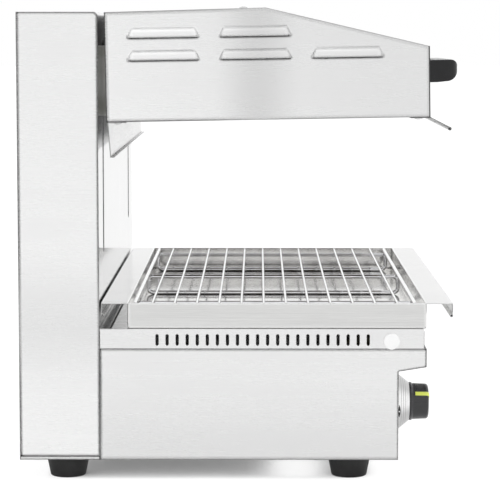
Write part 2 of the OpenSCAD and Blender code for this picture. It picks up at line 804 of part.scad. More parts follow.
module knob(s) color("black") on_panel(s) difference() {
    rotate_extrude() polygon(knob_outline());
    translate([0, 0, knob_seat - cut]) cylinder(h = shaft_in_knob + cut, d = shaft_dia);
    intersection() {
        pointer_zone();
        difference() {
            rotate_extrude() polygon(knob_outline(2 * pointer_deep));
            rotate_extrude() polygon(knob_outline(-pointer_deep));
        }
    }
}

module knob_pointer(s) color("yellowgreen") on_panel(s) intersection() {
    pointer_zone();
    difference() {
        rotate_extrude() polygon(knob_outline(pointer_out));
        rotate_extrude() polygon(knob_outline(-pointer_deep));
    }
}

module pilot_lamp(s) color(s < 0 ? "orange" : "limegreen") on_panel(s)
    translate([-s * lamp_gap, 0, 0]) rotate_extrude() {
        r = lamp_dia / 2;
        stem = r - lamp_rim;
        clip = r + lamp_rim / 2;
        polygon(concat([[0, -lamp_depth], [stem, -lamp_depth], [stem, -3 * sheet],
            [clip, -3 * sheet], [clip, -sheet], [stem, -sheet], [stem, 0], [r, 0]],
            arc([0, lamp_rim], r, 0, 90, 6)));
    }

module terminal_block() color("ivory") on_base() {
    x = around(gland_x, terminal_w);
    z = pan_z + sheet;
    difference() {
        union() {
            box(x, around(terminal_d, terminal_foot_d), [z, z + terminal_foot_h]);
            box(x, around(terminal_d, terminal_block_d), [z, z + terminal_h]);
        }
        for (i = [0:terminal_count - 1])
            translate([gland_x + (i - (terminal_count - 1) / 2) * terminal_pitch,
                -terminal_d, z]) {
                rotate([90, 0, 0]) translate([0, terminal_hole_rise, 0])
                    drill(terminal_hole_dia, terminal_foot_d);
                translate([0, 0, terminal_h]) drill(terminal_screw_dia, terminal_screw_deep);
            }
    }
}

module cable_gland() color("dimgray") on_base() translate([gland_x, -gland_d, pan_z])
    difference() {
        union() {
            hex_dia = 1.5 * gland_dia;
            translate([0, 0, -gland_hex_h]) cylinder(h = gland_hex_h, d = hex_dia, $fn = 6);
            translate([0, 0, -gland_hex_h - gland_dome_h])
                cylinder(h = gland_dome_h + cut, d1 = gland_dia, d2 = 1.25 * gland_dia);
            translate([0, 0, -cut]) cylinder(h = gland_thread_h + sheet + cut, d = gland_dia);
            translate([0, 0, sheet])
                cylinder(h = gland_nut_h, d = hex_dia, $fn = 6);
        }
        drill(gland_bore_dia, gland_hex_h + gland_dome_h + gland_thread_h);
    }

// ---- column ----------------------------------------------------------------------

module column_side(s) color("silver") on_base() side(s) {
    skin = [[0, column_z], [column_d, column_z], [column_d, column_top - column_bevel],
        [column_d - column_bevel, column_top], [0, column_top]];
    difference() {
        union() {
            across(-half_w, -half_w + sheet) polygon(skin);
            box([-half_w, -half_w + flange_w], [0, sheet], [column_z, column_top]);
        }
        place_rear_screws() flush_hole();
    }
}

module column_front_panel() color("gainsboro") on_base() {
    inner = half_w - sheet;
    front = [[column_d, deck_z], [column_d, column_top - column_bevel],
        [column_d - column_bevel, column_top], [inner_back, column_top]];
    slot_low = arm_z - lift_travel - stop_gap;
    slot_high = arm_top + stop_gap;
    difference() {
        union() {
            across(-inner, inner) polygon(bent(front, sheet));
            box([-inner + foot_seam, inner - foot_seam], [column_d - sheet, foot_front],
                [deck_z - sheet, deck_z]);
            for (s = [-1, 1]) side(s)
                box([-inner, -inner + sheet], [column_d - flange_w, column_d - sheet / 2],
                    [deck_z, column_top - 3 * column_bevel]);
        }
        for (s = [-1, 1])
            along(column_d - 2 * sheet, column_d + sheet)
                translate([s * lift_x, (slot_low + slot_high) / 2])
                    slot_shape(lift_slot_w, slot_high - slot_low + lift_slot_w / 2);
    }
}

rear_screw_zs = [column_z + rear_screw_inset, (column_z + column_top) / 2,
    column_top - rear_screw_inset];

module place_rear_screws() for (s = [-1, 1], z = rear_screw_zs)
    translate([s * (half_w - flange_w / 2), 0, z]) rotate([-90, 0, 0]) children();

module rear_cover() color("gainsboro") on_base() difference() {
    box([-half_w + 3 * sheet, half_w - 3 * sheet], [sheet, inner_back],
        [column_z + sheet, column_top - sheet]);
    place_rear_screws() flush_hole();
    for (x = [-3:3]) along(0, 3 * sheet) {
        for (i = [0:outlet_rows - 1])
            translate([x * outlet_pitch, column_top - outlet_drop - i * outlet_row])
                rotate(90) slot_shape(outlet_w, outlet_l);
        for (i = [0:outlet_rows - 4])
            translate([x * outlet_pitch, column_z + outlet_drop + i * outlet_row])
                rotate(90) slot_shape(outlet_w, outlet_l);
    }
}

module case_screws() color("gray") on_base() {
    place_floor_screws() rotate([180, 0, 0]) pan_screw(screw_l);
    place_rear_screws() flush_screw(screw_l);
}

module rod_bracket_lower() color("darkgray") on_base() {
    base = pan_z + sheet;
    shelf = base + bracket_rise;
    foot = bracket_t * 3;
    path = [[bracket_ds[1] + foot, base], [bracket_ds[1], base], [bracket_ds[1], shelf],
        [bracket_ds[0], shelf], [bracket_ds[0], base], [bracket_ds[0] - foot, base]];
    difference() {
        across(-lift_x - 1.5 * carriage_lap, lift_x + 1.5 * carriage_lap)
            polygon(bent(path, -bracket_t));
        for (s = [-1, 1]) translate([s * lift_x, -guide_d, shelf]) drill(guide_dia);
        translate([gland_x, -gland_d, base]) drill(2 * gland_dia);
    }
}

module rod_bracket_upper() color("darkgray") on_base() {
    ear = bracket_drop - 2 * sheet;
    inner = half_w - sheet;
    difference() {
        union() {
            across(-inner, inner)
                polygon(bent([[bracket_ds[1], upper_shelf + ear],
                    [bracket_ds[1], upper_shelf], [bracket_ds[0], upper_shelf],
                    [bracket_ds[0], upper_shelf + ear]], -bracket_t / 2));
            for (s = [-1, 1]) side(s)
                box([-inner, -inner + bracket_t / 2], bracket_ds,
                    [upper_shelf - bracket_drop, upper_shelf]);
        }
        for (s = [-1, 1]) translate([s * lift_x, -guide_d, upper_shelf]) drill(guide_dia);
    }
}

module guide_rod(s) color("lightgray") on_base()
    translate([s * lift_x, -guide_d, shelf_top - 2 * bracket_t])
        cylinder(h = upper_shelf - shelf_top + 4 * bracket_t, d = guide_dia);

module strut_cylinder(s) color("black") on_base()
    translate([s * strut_x, -guide_d, shelf_top]) difference() {
        bore_z = rod_end - lift_travel - stop_gap - shelf_top;
        cylinder(h = strut_top - shelf_top, d = strut_dia);
        translate([0, 0, bore_z])
            cylinder(h = strut_top - shelf_top, d = strut_rod_dia + 2 * running_gap);
    }

module strut_rod(s) color("lightgray") on_base()
    translate([s * strut_x, -guide_d, rod_end]) {
        lug_rise = lug_z - rod_end;
        cylinder(h = lug_rise, d = strut_rod_dia);
        translate([0, 0, lug_rise - cut])
            cylinder(h = carriage_t + 1.4 * nut_h + cut, d = bolt_dia);
        translate([0, 0, lug_rise + carriage_t]) nut();
    }

module carriage_plate() color("darkgray") on_base() difference() {
    union() {
        box([-lift_x - carriage_lap, lift_x + carriage_lap], [carriage_back, carriage_front],
            [arm_z, arm_top]);
        for (s = [-1, 1])
            box(around(s * strut_x, lug_w),
                [guide_d - lug_w / 2, carriage_back + carriage_t / 2],
                [lug_z, lug_z + carriage_t]);
    }
    for (s = [-1, 1]) translate([s * strut_x, -guide_d, lug_z]) drill(bolt_dia);
    // weight-saving window between the struts
    along(carriage_back - cut, carriage_front + cut) translate([0, (arm_z + arm_top) / 2])
        rounded(2 * (strut_x - lug_w), arm_h - 3 * lug_drop, lug_drop);
}

module carriage_bush(s) color("tan") on_base()
    translate([s * lift_x, -guide_d, arm_z + bush_inset]) difference() {
        long = arm_h - 2 * bush_inset;
        union() {
            cylinder(h = long, d = guide_dia + 2 * bush_body_wall);
            for (z = [0, long - bush_flange_h])
                translate([0, 0, z]) cylinder(h = bush_flange_h, d = bush_dia);
        }
        translate([0, 0, arm_h / 2]) drill(guide_dia + 2 * running_gap, arm_h);
    }

// Depth of the tilted hood's rear wall at a height
function hood_back(z) = hood_pivot_d - (z - hood_z) * tan(hood_tilt);

module arm(s) color("darkgray") difference() {
    on_base() across(s * lift_x - arm_w / 2, s * lift_x + arm_w / 2) difference() {
        polygon([[carriage_front, arm_z], [hood_back(arm_z), arm_z],
            [hood_back(arm_top), arm_top], [carriage_front, arm_top]]);
        translate([(carriage_front + column_d) / 2, (arm_z + arm_top) / 2])
            slot_shape(1.5 * arm_w, arm_h / 2);
    }
    in_hood() place_arm_bolts() drill(bolt_dia, arm_bolt_l);
}

// ---- hood ------------------------------------------------------------------------

// Height of the roof above the rim at a depth
function roof(u) = u < crest_d
    ? hood_rear_h + (crest_h - hood_rear_h) * u / crest_d
    : crest_h + (hood_front_h - crest_h) * (u - crest_d) / (hood_d - crest_d);

hood_screw_x = half_hood - flange_w / 2;

module place_hood_screws() {
    for (s = [-1, 1], u = [rim_screw_inset, hood_d - rim_screw_inset])
        translate([s * hood_screw_x, -u, -sheet]) rotate([180, 0, 0]) children();
    for (s = [-1, 1])
        translate([s * hood_screw_x, -roof_screw_u, roof(roof_screw_u)])
            rotate([-atan((crest_h - hood_rear_h) / crest_d), 0, 0]) children();
}

module place_arm_bolts() for (s = [-1, 1], v = [arm_bolt_v, arm_bolt_v + arm_bolt_gap])
    translate([s * lift_x, -sheet, v]) rotate([90, 0, 0]) children();

handle_bolt_x = handle_l / 2 - handle_bolt_inset;

module place_handle_bolts() for (s = [-1, 1])
    translate([s * handle_bolt_x, -hood_d + sheet, handle_v]) rotate([-90, 0, 0]) children();

module hood_skin() color("silver") in_hood() {
    path = [[hood_d - rim_w, 0], [hood_d, 0], [hood_d, hood_front_h], [crest_d, crest_h],
        [0, hood_rear_h], [0, 0], [rim_w, 0]];
    difference() {
        across(-half_hood + sheet, half_hood - sheet) polygon(bent(path, sheet));
        place_hood_screws() drill(screw_hole_dia, screw_l);
        place_arm_bolts() drill(bolt_dia, screw_l);
        place_handle_bolts() drill(bolt_dia, screw_l);
    }
}

// A pressed louvre on the left side panel. Its open edge lies on z = 0 and it stands out
// towards -X; t shrinks it to the hollow behind, which also runs through the panel.
module louvre(t) {
    deep = t > 0 ? 2 * sheet : sheet / 2;
    low = t > 0 ? -cut : 0;
    intersection() {
        // front view
        translate([-louvre_out - 1, 0, 0]) across(0, louvre_out + deep + 1)
            polygon([[-louvre_l / 2 + t, low], [louvre_l / 2 - t, low],
                [louvre_top_l / 2 - t, louvre_h - t], [-louvre_top_l / 2 + t, louvre_h - t]]);
        // end view: a round back that leaves the panel smoothly
        rotate([90, 0, 0]) linear_extrude(louvre_l + 2, center = true) {
            intersection() {
                translate([louvre_r - louvre_out, 0]) circle(louvre_r - t);
                translate([-louvre_out - 1, 0]) square([louvre_out + 1, louvre_h + 1]);
            }
            translate([-louvre_out + t, low]) square([louvre_out - t, cut]);
            translate([-cut / 2, low]) square([deep + cut / 2, louvre_h + 1]);
        }
        // top view: drawn-in ends
        translate([0, 0, -1]) linear_extrude(louvre_h + 2)
            polygon([[deep, -louvre_l / 2 + t], [0, -louvre_l / 2 + t],
                [-louvre_out + t, -louvre_l / 2 + louvre_out + 1.4 * t],
                [-louvre_out + t, louvre_l / 2 - louvre_out - 1.4 * t],
                [0, louvre_l / 2 - t], [deep, louvre_l / 2 - t]]);
    }
}

// Louvres stand in three columns, the upper row only where the roof leaves room
module louvres(t) for (i = [0:2], j = [0, 1]) {
    u = louvre_start + i * louvre_pitch;
    v = louvre_rise + j * louvre_row;
    if (v + louvre_h + 4 * sheet < roof(u + louvre_l / 2))
        translate([-half_hood, -u, v]) louvre(t);
}

module hood_side(s) color("silver") in_hood() side(s) difference() {
    union() {
        across(-half_hood, -half_hood + sheet) polygon(hood_outline);
        difference() {
            across(-half_hood + sheet / 2, -half_hood + flange_w)
                polygon(inset(hood_outline, sheet));
            across(-half_hood + sheet / 2 - cut, -half_hood + flange_w + cut)
                polygon(inset(hood_outline, 2 * sheet));
        }
        louvres(0);
    }
    louvres(sheet * 0.8);
    place_hood_screws() drill(screw_hole_dia, screw_l);
}

module hood_reflector() color("whitesmoke") in_hood() {
    wide = reflector_wide;
    narrow = reflector_narrow;
    difference() {
        union() {
            box([-reflector_rim, reflector_rim],
                [reflector_rim_gap, hood_d - reflector_rim_gap],
                [reflector_v, reflector_v + sheet]);
            across(-reflector_x, reflector_x)
                polygon([[wide, reflector_v], [hood_d - wide, reflector_v],
                    [hood_d - narrow, reflector_top], [narrow, reflector_top]]);
        }
        across(-reflector_x + sheet, reflector_x - sheet)
            polygon([[wide + sheet, reflector_v - cut],
                [hood_d - wide - sheet, reflector_v - cut],
                [hood_d - narrow - sheet, reflector_top - sheet],
                [narrow + sheet, reflector_top - sheet]]);
        for (u = element_us) place_legs(u) drill(element_hole_dia, collar_l);
    }
}

// The two legs of an element, where they pass the reflector's right end
module place_legs(u) for (s = [-1, 1])
    translate([reflector_x, -u + s * element_leg / 2, element_v])
        rotate([0, 90, 0]) children();

module element(u) color("dimgray") in_hood() {
    bend_x = element_end_gap - reflector_x;
    place_legs(u) {
        translate([0, 0, bend_x - reflector_x])
            cylinder(h = reflector_x + element_tail - bend_x, d = element_dia);
        translate([0, 0, element_tail - cut])
            cylinder(h = element_pin_l + cut, d = element_pin_dia);
    }
    translate([bend_x, -u, element_v]) rotate([0, 0, 90]) rotate_extrude(angle = 180)
        translate([element_leg / 2, 0]) circle(d = element_dia);
}

module element_hangers() color("silver") in_hood() for (s = [-1, 1]) side(s)
    across(-hanger_x, hanger_t - hanger_x) difference() {
        low = element_v - element_dia;
        edge = reflector_narrow + rim_lap;
        translate([edge, low]) square([hood_d - 2 * edge, reflector_top - sheet - low]);
        for (u = element_us, q = [-1, 1]) translate([u + q * element_leg / 2, element_v])
            circle(d = element_hole_dia);
    }

module element_insulators() color("white") in_hood() for (u = element_us)
    place_legs(u) difference() {
        cylinder(h = collar_l, d = collar_dia);
        drill(element_hole_dia, 1.5 * collar_l);
    }

module front_deflector() color("silver") in_hood() {
    start = [hood_d, 0];
    slope = [cos(lip_angle), -sin(lip_angle)];
    tip = start + lip_l * slope;
    difference() {
        union() {
            across(-half_hood, half_hood)
                polygon(bent([[hood_d - rim_w, 0], start, tip], -sheet));
            across(-half_hood, half_hood)
                translate(tip - (roll_r - roll_bulge) * left_of(slope)) rolled_edge();
        }
        place_hood_screws() drill(screw_hole_dia, screw_l);
    }
}

module rear_shield() color("silver") in_hood() {
    low = shield_gap + shield_slope;
    path = [[rim_w, 0], [shield_gap, 0], [low, -shield_h], [low + shield_fold, -shield_h]];
    difference() {
        across(-half_hood, half_hood) polygon(bent(path, sheet));
        place_hood_screws() drill(screw_hole_dia, screw_l);
    }
}

module hood_screws() color("gray") in_hood() place_hood_screws() pan_screw(screw_l);

module handle() color("black") in_hood() difference() {
    top = handle_v + handle_h / 2;
    low = handle_v - handle_h / 2;
    reach = hood_d + handle_reach;
    nose = handle_nose_r;
    chin = handle_chin_r;
    round = handle_shoulder_r;
    middle = handle_l / 2 - handle_draw - round;
    room = handle_reach - grip_d;
    into = room / 2;
    intersection() {
        // side view: flat top, round nose and a rounder chin
        across(-handle_l / 2, handle_l / 2) polygon(concat(
            [[hood_d, low], [hood_d + room, low]],
            arc([reach - chin, low + handle_rise + chin], chin, crown_angle - 90, 0, 12),
            arc([reach - nose, top - nose], nose, 0, 90, 12), [[hood_d, top]]));
        // top view: a bow with round shoulders
        translate([0, 0, low - cut]) linear_extrude(handle_h + 2 * cut) polygon(concat(
            [[-handle_l / 2, -hood_d]], arc([-middle, -reach + round], round, 180, 270),
            arc([middle, -reach + round], round, 270, 360), [[handle_l / 2, -hood_d]]));
    }
    // space for the fingers
    translate([0, -hood_d - (room - into) / 2, low - cut])
        linear_extrude(handle_h + 2 * cut)
            rounded(handle_l - 2 * handle_leg, room + into, handle_inner_r);
    place_handle_bolts() drill(bolt_dia, handle_bolt_l + stop_gap);
}

module hood_bolts() color("gray") in_hood() {
    place_arm_bolts() pan_screw(arm_bolt_l, bolt_dia);
    place_handle_bolts() pan_screw(handle_bolt_l, bolt_dia);
}

// ---- tray and rack ---------------------------------------------------------------

// Box with round upright and lower edges
module tray_form(t) {
    x = half_tray - t;
    d0 = tray_back + t;
    d1 = tray_front - t;
    z = deck_z + t;
    r = tray_bend_r - t;
    high = tray_top + (t > 0 ? cut : 0);
    intersection() {
        translate([0, -(d0 + d1) / 2, z]) linear_extrude(high - z) rounded(2 * x, d1 - d0, r);
        along(d0 - cut, d1 + cut) mirror([0, 1]) round_top(-x, x, -high, -z, r);
        across(-x - cut, x + cut) mirror([0, 1]) round_top(d0, d1, -high, -z, r);
    }
}

// Flange with a turned-down lip and a rolled edge, from a wall outwards
module tray_edge(wall, out) {
    tip = wall + out * tray_flange;
    low = tray_top - tray_lip + roll_r;
    across(-half_tray, half_tray)
        polygon(bent([[wall - out * sheet / 2, tray_top], [tip, tray_top], [tip, low]],
            -out * sheet));
    across(-half_tray, half_tray)
        translate([tip - out * (roll_r - roll_bulge), low]) rolled_edge();
}

module drip_tray() color("silver") on_base() {
    difference() {
        tray_form(0);
        tray_form(sheet);
    }
    tray_edge(tray_back, -1);
    tray_edge(tray_front, 1);
}

module rack_rod(dia, d, z) translate([0, -d, z]) rotate([0, 90, 0])
    cylinder(h = 2 * (half_tray - sheet - rack_end_gap), d = dia, center = true);

module rack_grid() color("gainsboro") on_base() {
    for (d = [rack_back, rack_back + rack_d]) rack_rod(bar_dia, d, bar_z);
    for (i = [0:wire_count - 1])
        rack_rod(wire_dia, rack_back + rack_d / 2 + (i - (wire_count - 1) / 2) * wire_pitch,
            wire_z);
}

module rack_foot_loops() color("gainsboro") on_base()
    for (x = [-1, 0, 1] * (half_tray - loop_inset))
        translate([x, -rack_back - rack_d / 2, rack_z + (loop_dia + loop_h) / 2])
            rotate([90, 0, 90]) for (s = [-1, 1]) {
                l = rack_d - 2 * loop_r;
                h = loop_h - 2 * loop_r;
                translate([0, s * loop_h / 2, 0]) rotate([0, 90, 0])
                    cylinder(h = l, d = loop_dia, center = true);
                translate([s * rack_d / 2, 0, 0]) rotate([90, 0, 0])
                    cylinder(h = h, d = loop_dia, center = true);
                for (q = [-1, 1])
                    translate([s * l / 2, q * h / 2, 0])
                        rotate([0, 0, s > 0 ? (q > 0 ? 0 : 270) : (q > 0 ? 90 : 180)])
                            rotate_extrude(angle = 90) translate([loop_r, 0])
                                circle(d = loop_dia);
            }

base_side(-1);  // base_side_left
base_side(1);  // base_side_right
front_panel();
floor_pan();
deck_pan();
side_plugs();
foot(-1, foot_ds[0]);  // foot_rear_left
foot(1, foot_ds[0]);  // foot_rear_right
foot(-1, foot_ds[1]);  // foot_front_left
foot(1, foot_ds[1]);  // foot_front_right
foot_screws();
case_screws();
regulator(-1);  // regulator_left
regulator(1);  // regulator_right
knob_bezel(-1);  // knob_bezel_left
knob_bezel(1);  // knob_bezel_right
knob_shaft(-1);  // knob_shaft_left
knob_shaft(1);  // knob_shaft_right
knob(-1);  // knob_left
knob(1);  // knob_right
knob_pointer(-1);  // knob_pointer_left
knob_pointer(1);  // knob_pointer_right
pilot_lamp(-1);  // pilot_lamp_left
pilot_lamp(1);  // pilot_lamp_right
terminal_block();
cable_gland();
column_side(-1);  // column_side_left
column_side(1);  // column_side_right
column_front_panel();
rear_cover();
rod_bracket_lower();
rod_bracket_upper();
guide_rod(-1);  // guide_rod_left
guide_rod(1);  // guide_rod_right
strut_cylinder(-1);  // strut_cylinder_left
strut_cylinder(1);  // strut_cylinder_right
strut_rod(-1);  // strut_rod_left
strut_rod(1);  // strut_rod_right
carriage_plate();
carriage_bush(-1);  // carriage_bush_left
carriage_bush(1);  // carriage_bush_right
arm(-1);  // arm_left
arm(1);  // arm_right
hood_skin();
hood_side(-1);  // hood_side_left
hood_side(1);  // hood_side_right
hood_reflector();
element(element_us[0]);  // element_rear
element(element_us[1]);  // element_middle
element(element_us[2]);  // element_front
element_hangers();
element_insulators();
front_deflector();
rear_shield();
hood_screws();
handle();
hood_bolts();
drip_tray();
rack_grid();
rack_foot_loops();
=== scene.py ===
# %% [markdown]
# # A countertop cheese melter, dressed for its photograph
#
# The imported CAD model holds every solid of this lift-hood grill: the rear column, the louvred
# heating hood, the base, the tray with its wire rack, knobs and feet. This lesson leaves those
# solids where they are. It gives each one a finish that behaves like the real metal, rubber
# or plastic, adds the small things that a lathe, a press or a welder leaves behind, and puts
# the machine into a plain white studio.

import json
import math
import random

import bmesh
import bpy
from mathutils import Matrix, Vector


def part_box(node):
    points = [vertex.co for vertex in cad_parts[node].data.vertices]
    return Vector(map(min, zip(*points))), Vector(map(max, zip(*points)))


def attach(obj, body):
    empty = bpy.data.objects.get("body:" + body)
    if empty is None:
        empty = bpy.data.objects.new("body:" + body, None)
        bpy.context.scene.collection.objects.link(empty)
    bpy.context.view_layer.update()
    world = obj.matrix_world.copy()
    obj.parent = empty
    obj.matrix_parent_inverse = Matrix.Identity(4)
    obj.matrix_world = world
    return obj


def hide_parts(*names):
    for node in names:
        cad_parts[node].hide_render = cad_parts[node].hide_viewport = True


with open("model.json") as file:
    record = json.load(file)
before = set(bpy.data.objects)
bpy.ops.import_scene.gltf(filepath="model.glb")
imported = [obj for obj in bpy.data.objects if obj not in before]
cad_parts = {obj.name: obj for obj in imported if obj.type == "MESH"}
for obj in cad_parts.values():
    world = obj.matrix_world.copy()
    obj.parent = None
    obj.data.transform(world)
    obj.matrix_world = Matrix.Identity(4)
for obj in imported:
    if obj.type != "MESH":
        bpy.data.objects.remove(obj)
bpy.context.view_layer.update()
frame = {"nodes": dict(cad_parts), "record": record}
nodes = frame["nodes"]

# %% [markdown]
# ## Two small helpers
#
# Paint makers and web pages give colours as sRGB hex codes, but light adds up in linear
# numbers, so one function turns the first into the second. Shader trees are built in code,
# and one function is enough for every node: it sets a node's own settings, and then each
# input is given a number, a hex colour, or a link from an earlier node.

# %% Colour and node helpers
MM = 0.001


def linear(hex_code):
    """An sRGB hex code as linear red, green, blue and an alpha of one."""
    channels = [int(hex_code[i : i + 2], 16) / 255 for i in (1, 3, 5)]
    return tuple(c / 12.92 if c <= 0.04045 else ((c + 0.055) / 1.055) ** 2.4 for c in channels) + (1,)


def add(tree, kind, inputs=None, **settings):
    """Adds a node. An input is a value, a hex colour, an output, or a node for its first output."""
    node = tree.nodes.new("ShaderNode" + kind)
    for name, value in settings.items():
        setattr(node, name, value)
    for name, value in (inputs or {}).items():
        if isinstance(value, bpy.types.Node):
            value = next(output for output in value.outputs if output.enabled)
        if isinstance(value, bpy.types.NodeSocket):
            tree.links.new(value, node.inputs[name])
        else:
            node.inputs[name].default_value = linear(value) if isinstance(value, str) else value
    return node


print("mid grey #808080 is", round(linear("#808080")[0], 3), "in linear light")

# %% [markdown]
# ## The camera
#
# The photograph looks straight at the operator's left side from about two and a half metres,
# slightly above the hood, so that the rack and the tray floor show. Its far side is about
# four fifths as large as its near side, which fixes the distance. A small downward shift
# keeps the upright edges a little straighter than pitch alone would.

# %% Place the camera
FRAME_PX = 500
SENSOR_MM = 36
FOCAL_PX = 2069.3
PITCH_DEG, YAW_DEG = 5.265, 0.232
CAMERA_M = (-2.5832, -0.0132, 0.5014)
LENS_SHIFT = -0.05
FAR_M = 50

camera = bpy.data.objects.new("studio_camera", bpy.data.cameras.new("studio_camera"))
bpy.context.collection.objects.link(camera)
camera.location = CAMERA_M
camera.rotation_euler = (math.radians(90 - PITCH_DEG), 0, math.radians(YAW_DEG - 90))
camera.data.sensor_width = SENSOR_MM
camera.data.lens = FOCAL_PX * SENSOR_MM / FRAME_PX
camera.data.shift_y = LENS_SHIFT
camera.data.clip_end = FAR_M
bpy.context.scene.camera = camera
print("lens:", round(camera.data.lens, 1), "mm")

# %% [markdown]
# ## A white studio
#
# Polished and brushed steel shows its surroundings more than its own colour, so the
# surroundings are the main thing to get right. A white cove is a floor and a sky that are
# both white. The world gives the camera and every reflection that white, with two things
# that a real studio has: a brighter soft box straight above, which lights the shoulders of
# the pressed louvres, and a slightly darker patch behind the camera. Without them sheet metal
# and black plastic have nothing to show.
#
# The light that falls on matt things is a little weaker, and two very wide suns add the rest
# from above, so that a matt colour comes out about as it is written.

# %% Degrees to a direction's height


def rise(degrees):
    """Height of a unit direction that points so many degrees above the horizon."""
    return math.sin(math.radians(degrees))


# %% World
MATT_LIGHT = 0.62
BOX_DEG = (56, 74)
BOX_EXTRA = 0.18
WALL_WHITE = 1.0
GAP_DEPTH = 0.2
GAP_DEG = 12
GAP_WAY = (-1, 0.03, -0.02)

world = bpy.data.worlds.new("white_cove")
bpy.context.scene.world = world
world.use_nodes = True
sky = world.node_tree
sky.nodes.clear()

path = add(sky, "LightPath")
way = add(sky, "TexCoord").outputs["Generated"]
height = add(sky, "SeparateXYZ", {0: way}).outputs["Z"]
low_edge, high_edge = [rise(degrees) for degrees in BOX_DEG]
into_box = {0: height, 1: low_edge, 2: high_edge, 3: WALL_WHITE, 4: WALL_WHITE + BOX_EXTRA}
soft_box = add(sky, "MapRange", into_box, interpolation_type="SMOOTHSTEP")
towards_gap = add(sky, "VectorMath", {0: way, 1: GAP_WAY}, operation="DOT_PRODUCT")
into_gap = {0: towards_gap, 1: math.cos(math.radians(GAP_DEG)), 2: 1.0, 4: GAP_DEPTH}
gap = add(sky, "MapRange", into_gap, interpolation_type="SMOOTHSTEP")
reflected = add(sky, "Math", {0: soft_box, 1: gap}, operation="SUBTRACT")
see_white = {0: path.outputs["Is Camera Ray"], 1: path.outputs["Is Transmission Ray"]}
see_white = add(sky, "Math", see_white, operation="MAXIMUM")
for_matt = add(sky, "Mix", {0: path.outputs["Is Glossy Ray"], 2: MATT_LIGHT, 3: reflected})
strength = add(sky, "Mix", {0: see_white, 2: for_matt, 3: 1.0})
background = add(sky, "Background", {"Color": "#FFFFFF", "Strength": strength})
add(sky, "OutputWorld", {"Surface": background})
print("matt surfaces get", MATT_LIGHT, "from the world")

# %% Two wide suns
for name, strength_w, angle_deg, lean_deg, turn_deg in (
    ("sun_over_the_camera", 0.75, 60, 40, -75),
    ("sun_from_the_front", 0.6, 50, 48, -15),
):
    lamp = bpy.data.objects.new(name, bpy.data.lights.new(name, "SUN"))
    lamp.data.energy = strength_w
    lamp.data.angle = math.radians(angle_deg)
    lamp.rotation_euler = (math.radians(lean_deg), 0, math.radians(turn_deg))
    lamp.visible_glossy = False
    bpy.context.collection.objects.link(lamp)
    print(name, strength_w, "W/m2 over", angle_deg, "degrees")

# %% [markdown]
# The floor is matt white paper. The machine's reflections see it as it is lit. To the camera
# it is a little simpler: most of its white is its own glow, which stands for all the light
# that a big cove bounces about, and that glow fades where the machine stands close above the
# paper. Ambient Occlusion measures how much of the air above a point is open. What is left is
# the soft, dark contact shadow of a product photograph, and the lamps add the wide faint one.

# %% Floor
FLOOR_REACH = 30
SHADOW_MM = 120
FIBRES_PER_M = 400
BOUNCE_GLOW = 0.17
OPEN_SHARE = (0.05, 0.18)
PAPER_GLOW = (0.16, 0.92)

floor_mesh = bpy.data.meshes.new("studio_floor")
corners = [(x * FLOOR_REACH, y * FLOOR_REACH, 0) for x, y in ((-1, -1), (1, -1), (1, 1), (-1, 1))]
floor_mesh.from_pydata(corners, [], [(0, 1, 2, 3)])
studio_floor = bpy.data.objects.new("studio_floor", floor_mesh)
bpy.context.collection.objects.link(studio_floor)

paper = bpy.data.materials.new("white_paper")
paper.use_nodes = True
tree = paper.node_tree
tree.nodes.clear()
fibre = add(tree, "TexNoise", {"Scale": FIBRES_PER_M, "Detail": 2.0})
paper_tone = add(tree, "Mix", {0: fibre, 6: "#F4F4F4", 7: "#F8F8F8"}, data_type="RGBA")
lit = add(tree, "BsdfDiffuse", {"Color": paper_tone})
bounced = add(tree, "Emission", {"Color": "#FFFFFF", "Strength": BOUNCE_GLOW})
reflected_floor = add(tree, "AddShader", {0: lit, 1: bounced})
wide_shadow = add(tree, "BsdfDiffuse", {"Color": "#7C7C7C"})
open_above = add(tree, "AmbientOcclusion", {"Distance": SHADOW_MM * MM}, samples=32).outputs["AO"]
glow = {0: open_above, 1: OPEN_SHARE[0], 2: OPEN_SHARE[1], 3: PAPER_GLOW[0], 4: PAPER_GLOW[1]}
glow = add(tree, "MapRange", glow)
glow = add(tree, "Emission", {"Color": "#FFFFFF", "Strength": glow})
seen_floor = add(tree, "AddShader", {0: wide_shadow, 1: glow})
to_camera = add(tree, "LightPath").outputs["Is Camera Ray"]
both = add(tree, "MixShader", {0: to_camera, 1: reflected_floor, 2: seen_floor})
add(tree, "OutputMaterial", {"Surface": both})
floor_mesh.materials.append(paper)
print("floor is", 2 * FLOOR_REACH, "m across")

# %% [markdown]
# ## What every finish shares
#
# A folded or cut edge is never perfectly sharp. On bright sheet metal its tight radius turns
# away from the lights and shows a dark line, with a thin bright one beside it where the fold
# begins; both are painted into the colour, as painted shade and a painted highlight. The Bevel
# node finds those edges: near one, the normal that it rounds off no longer agrees with the
# flat surface's own. The same measure gives a plastic edge another tone, partly wear where
# hands rub it and partly painted edge light. Seams and corners get painted shade, as little
# light gets in there. The Ambient Occlusion node measures how closed in a point is.

# %% Start a material and find its edges and seams
BRIGHT_FOLD_DEG = (1, 5)
DARK_FOLD_DEG = (11, 20)
BRIGHT_FOLD = 0.5
LOOKS_UP = 0.06
SEAM_SHADE_MM = 3
SEAM_SHADE_OPEN = (0.1, 0.6)
NOISE_RANGE = (0.3, 0.7)


def start(name):
    """A new material, its node tree and its shader."""
    material = bpy.data.materials.new(name)
    material.use_nodes = True
    return material, material.node_tree, material.node_tree.nodes["Principled BSDF"]


def edges(tree, radius_mm):
    """The rounded normal near edges, and how far it agrees with the surface's own normal."""
    rounded = add(tree, "Bevel", {"Radius": radius_mm * MM}, samples=8)
    own = add(tree, "NewGeometry").outputs["Normal"]
    return rounded, add(tree, "VectorMath", {0: rounded, 1: own}, operation="DOT_PRODUCT")


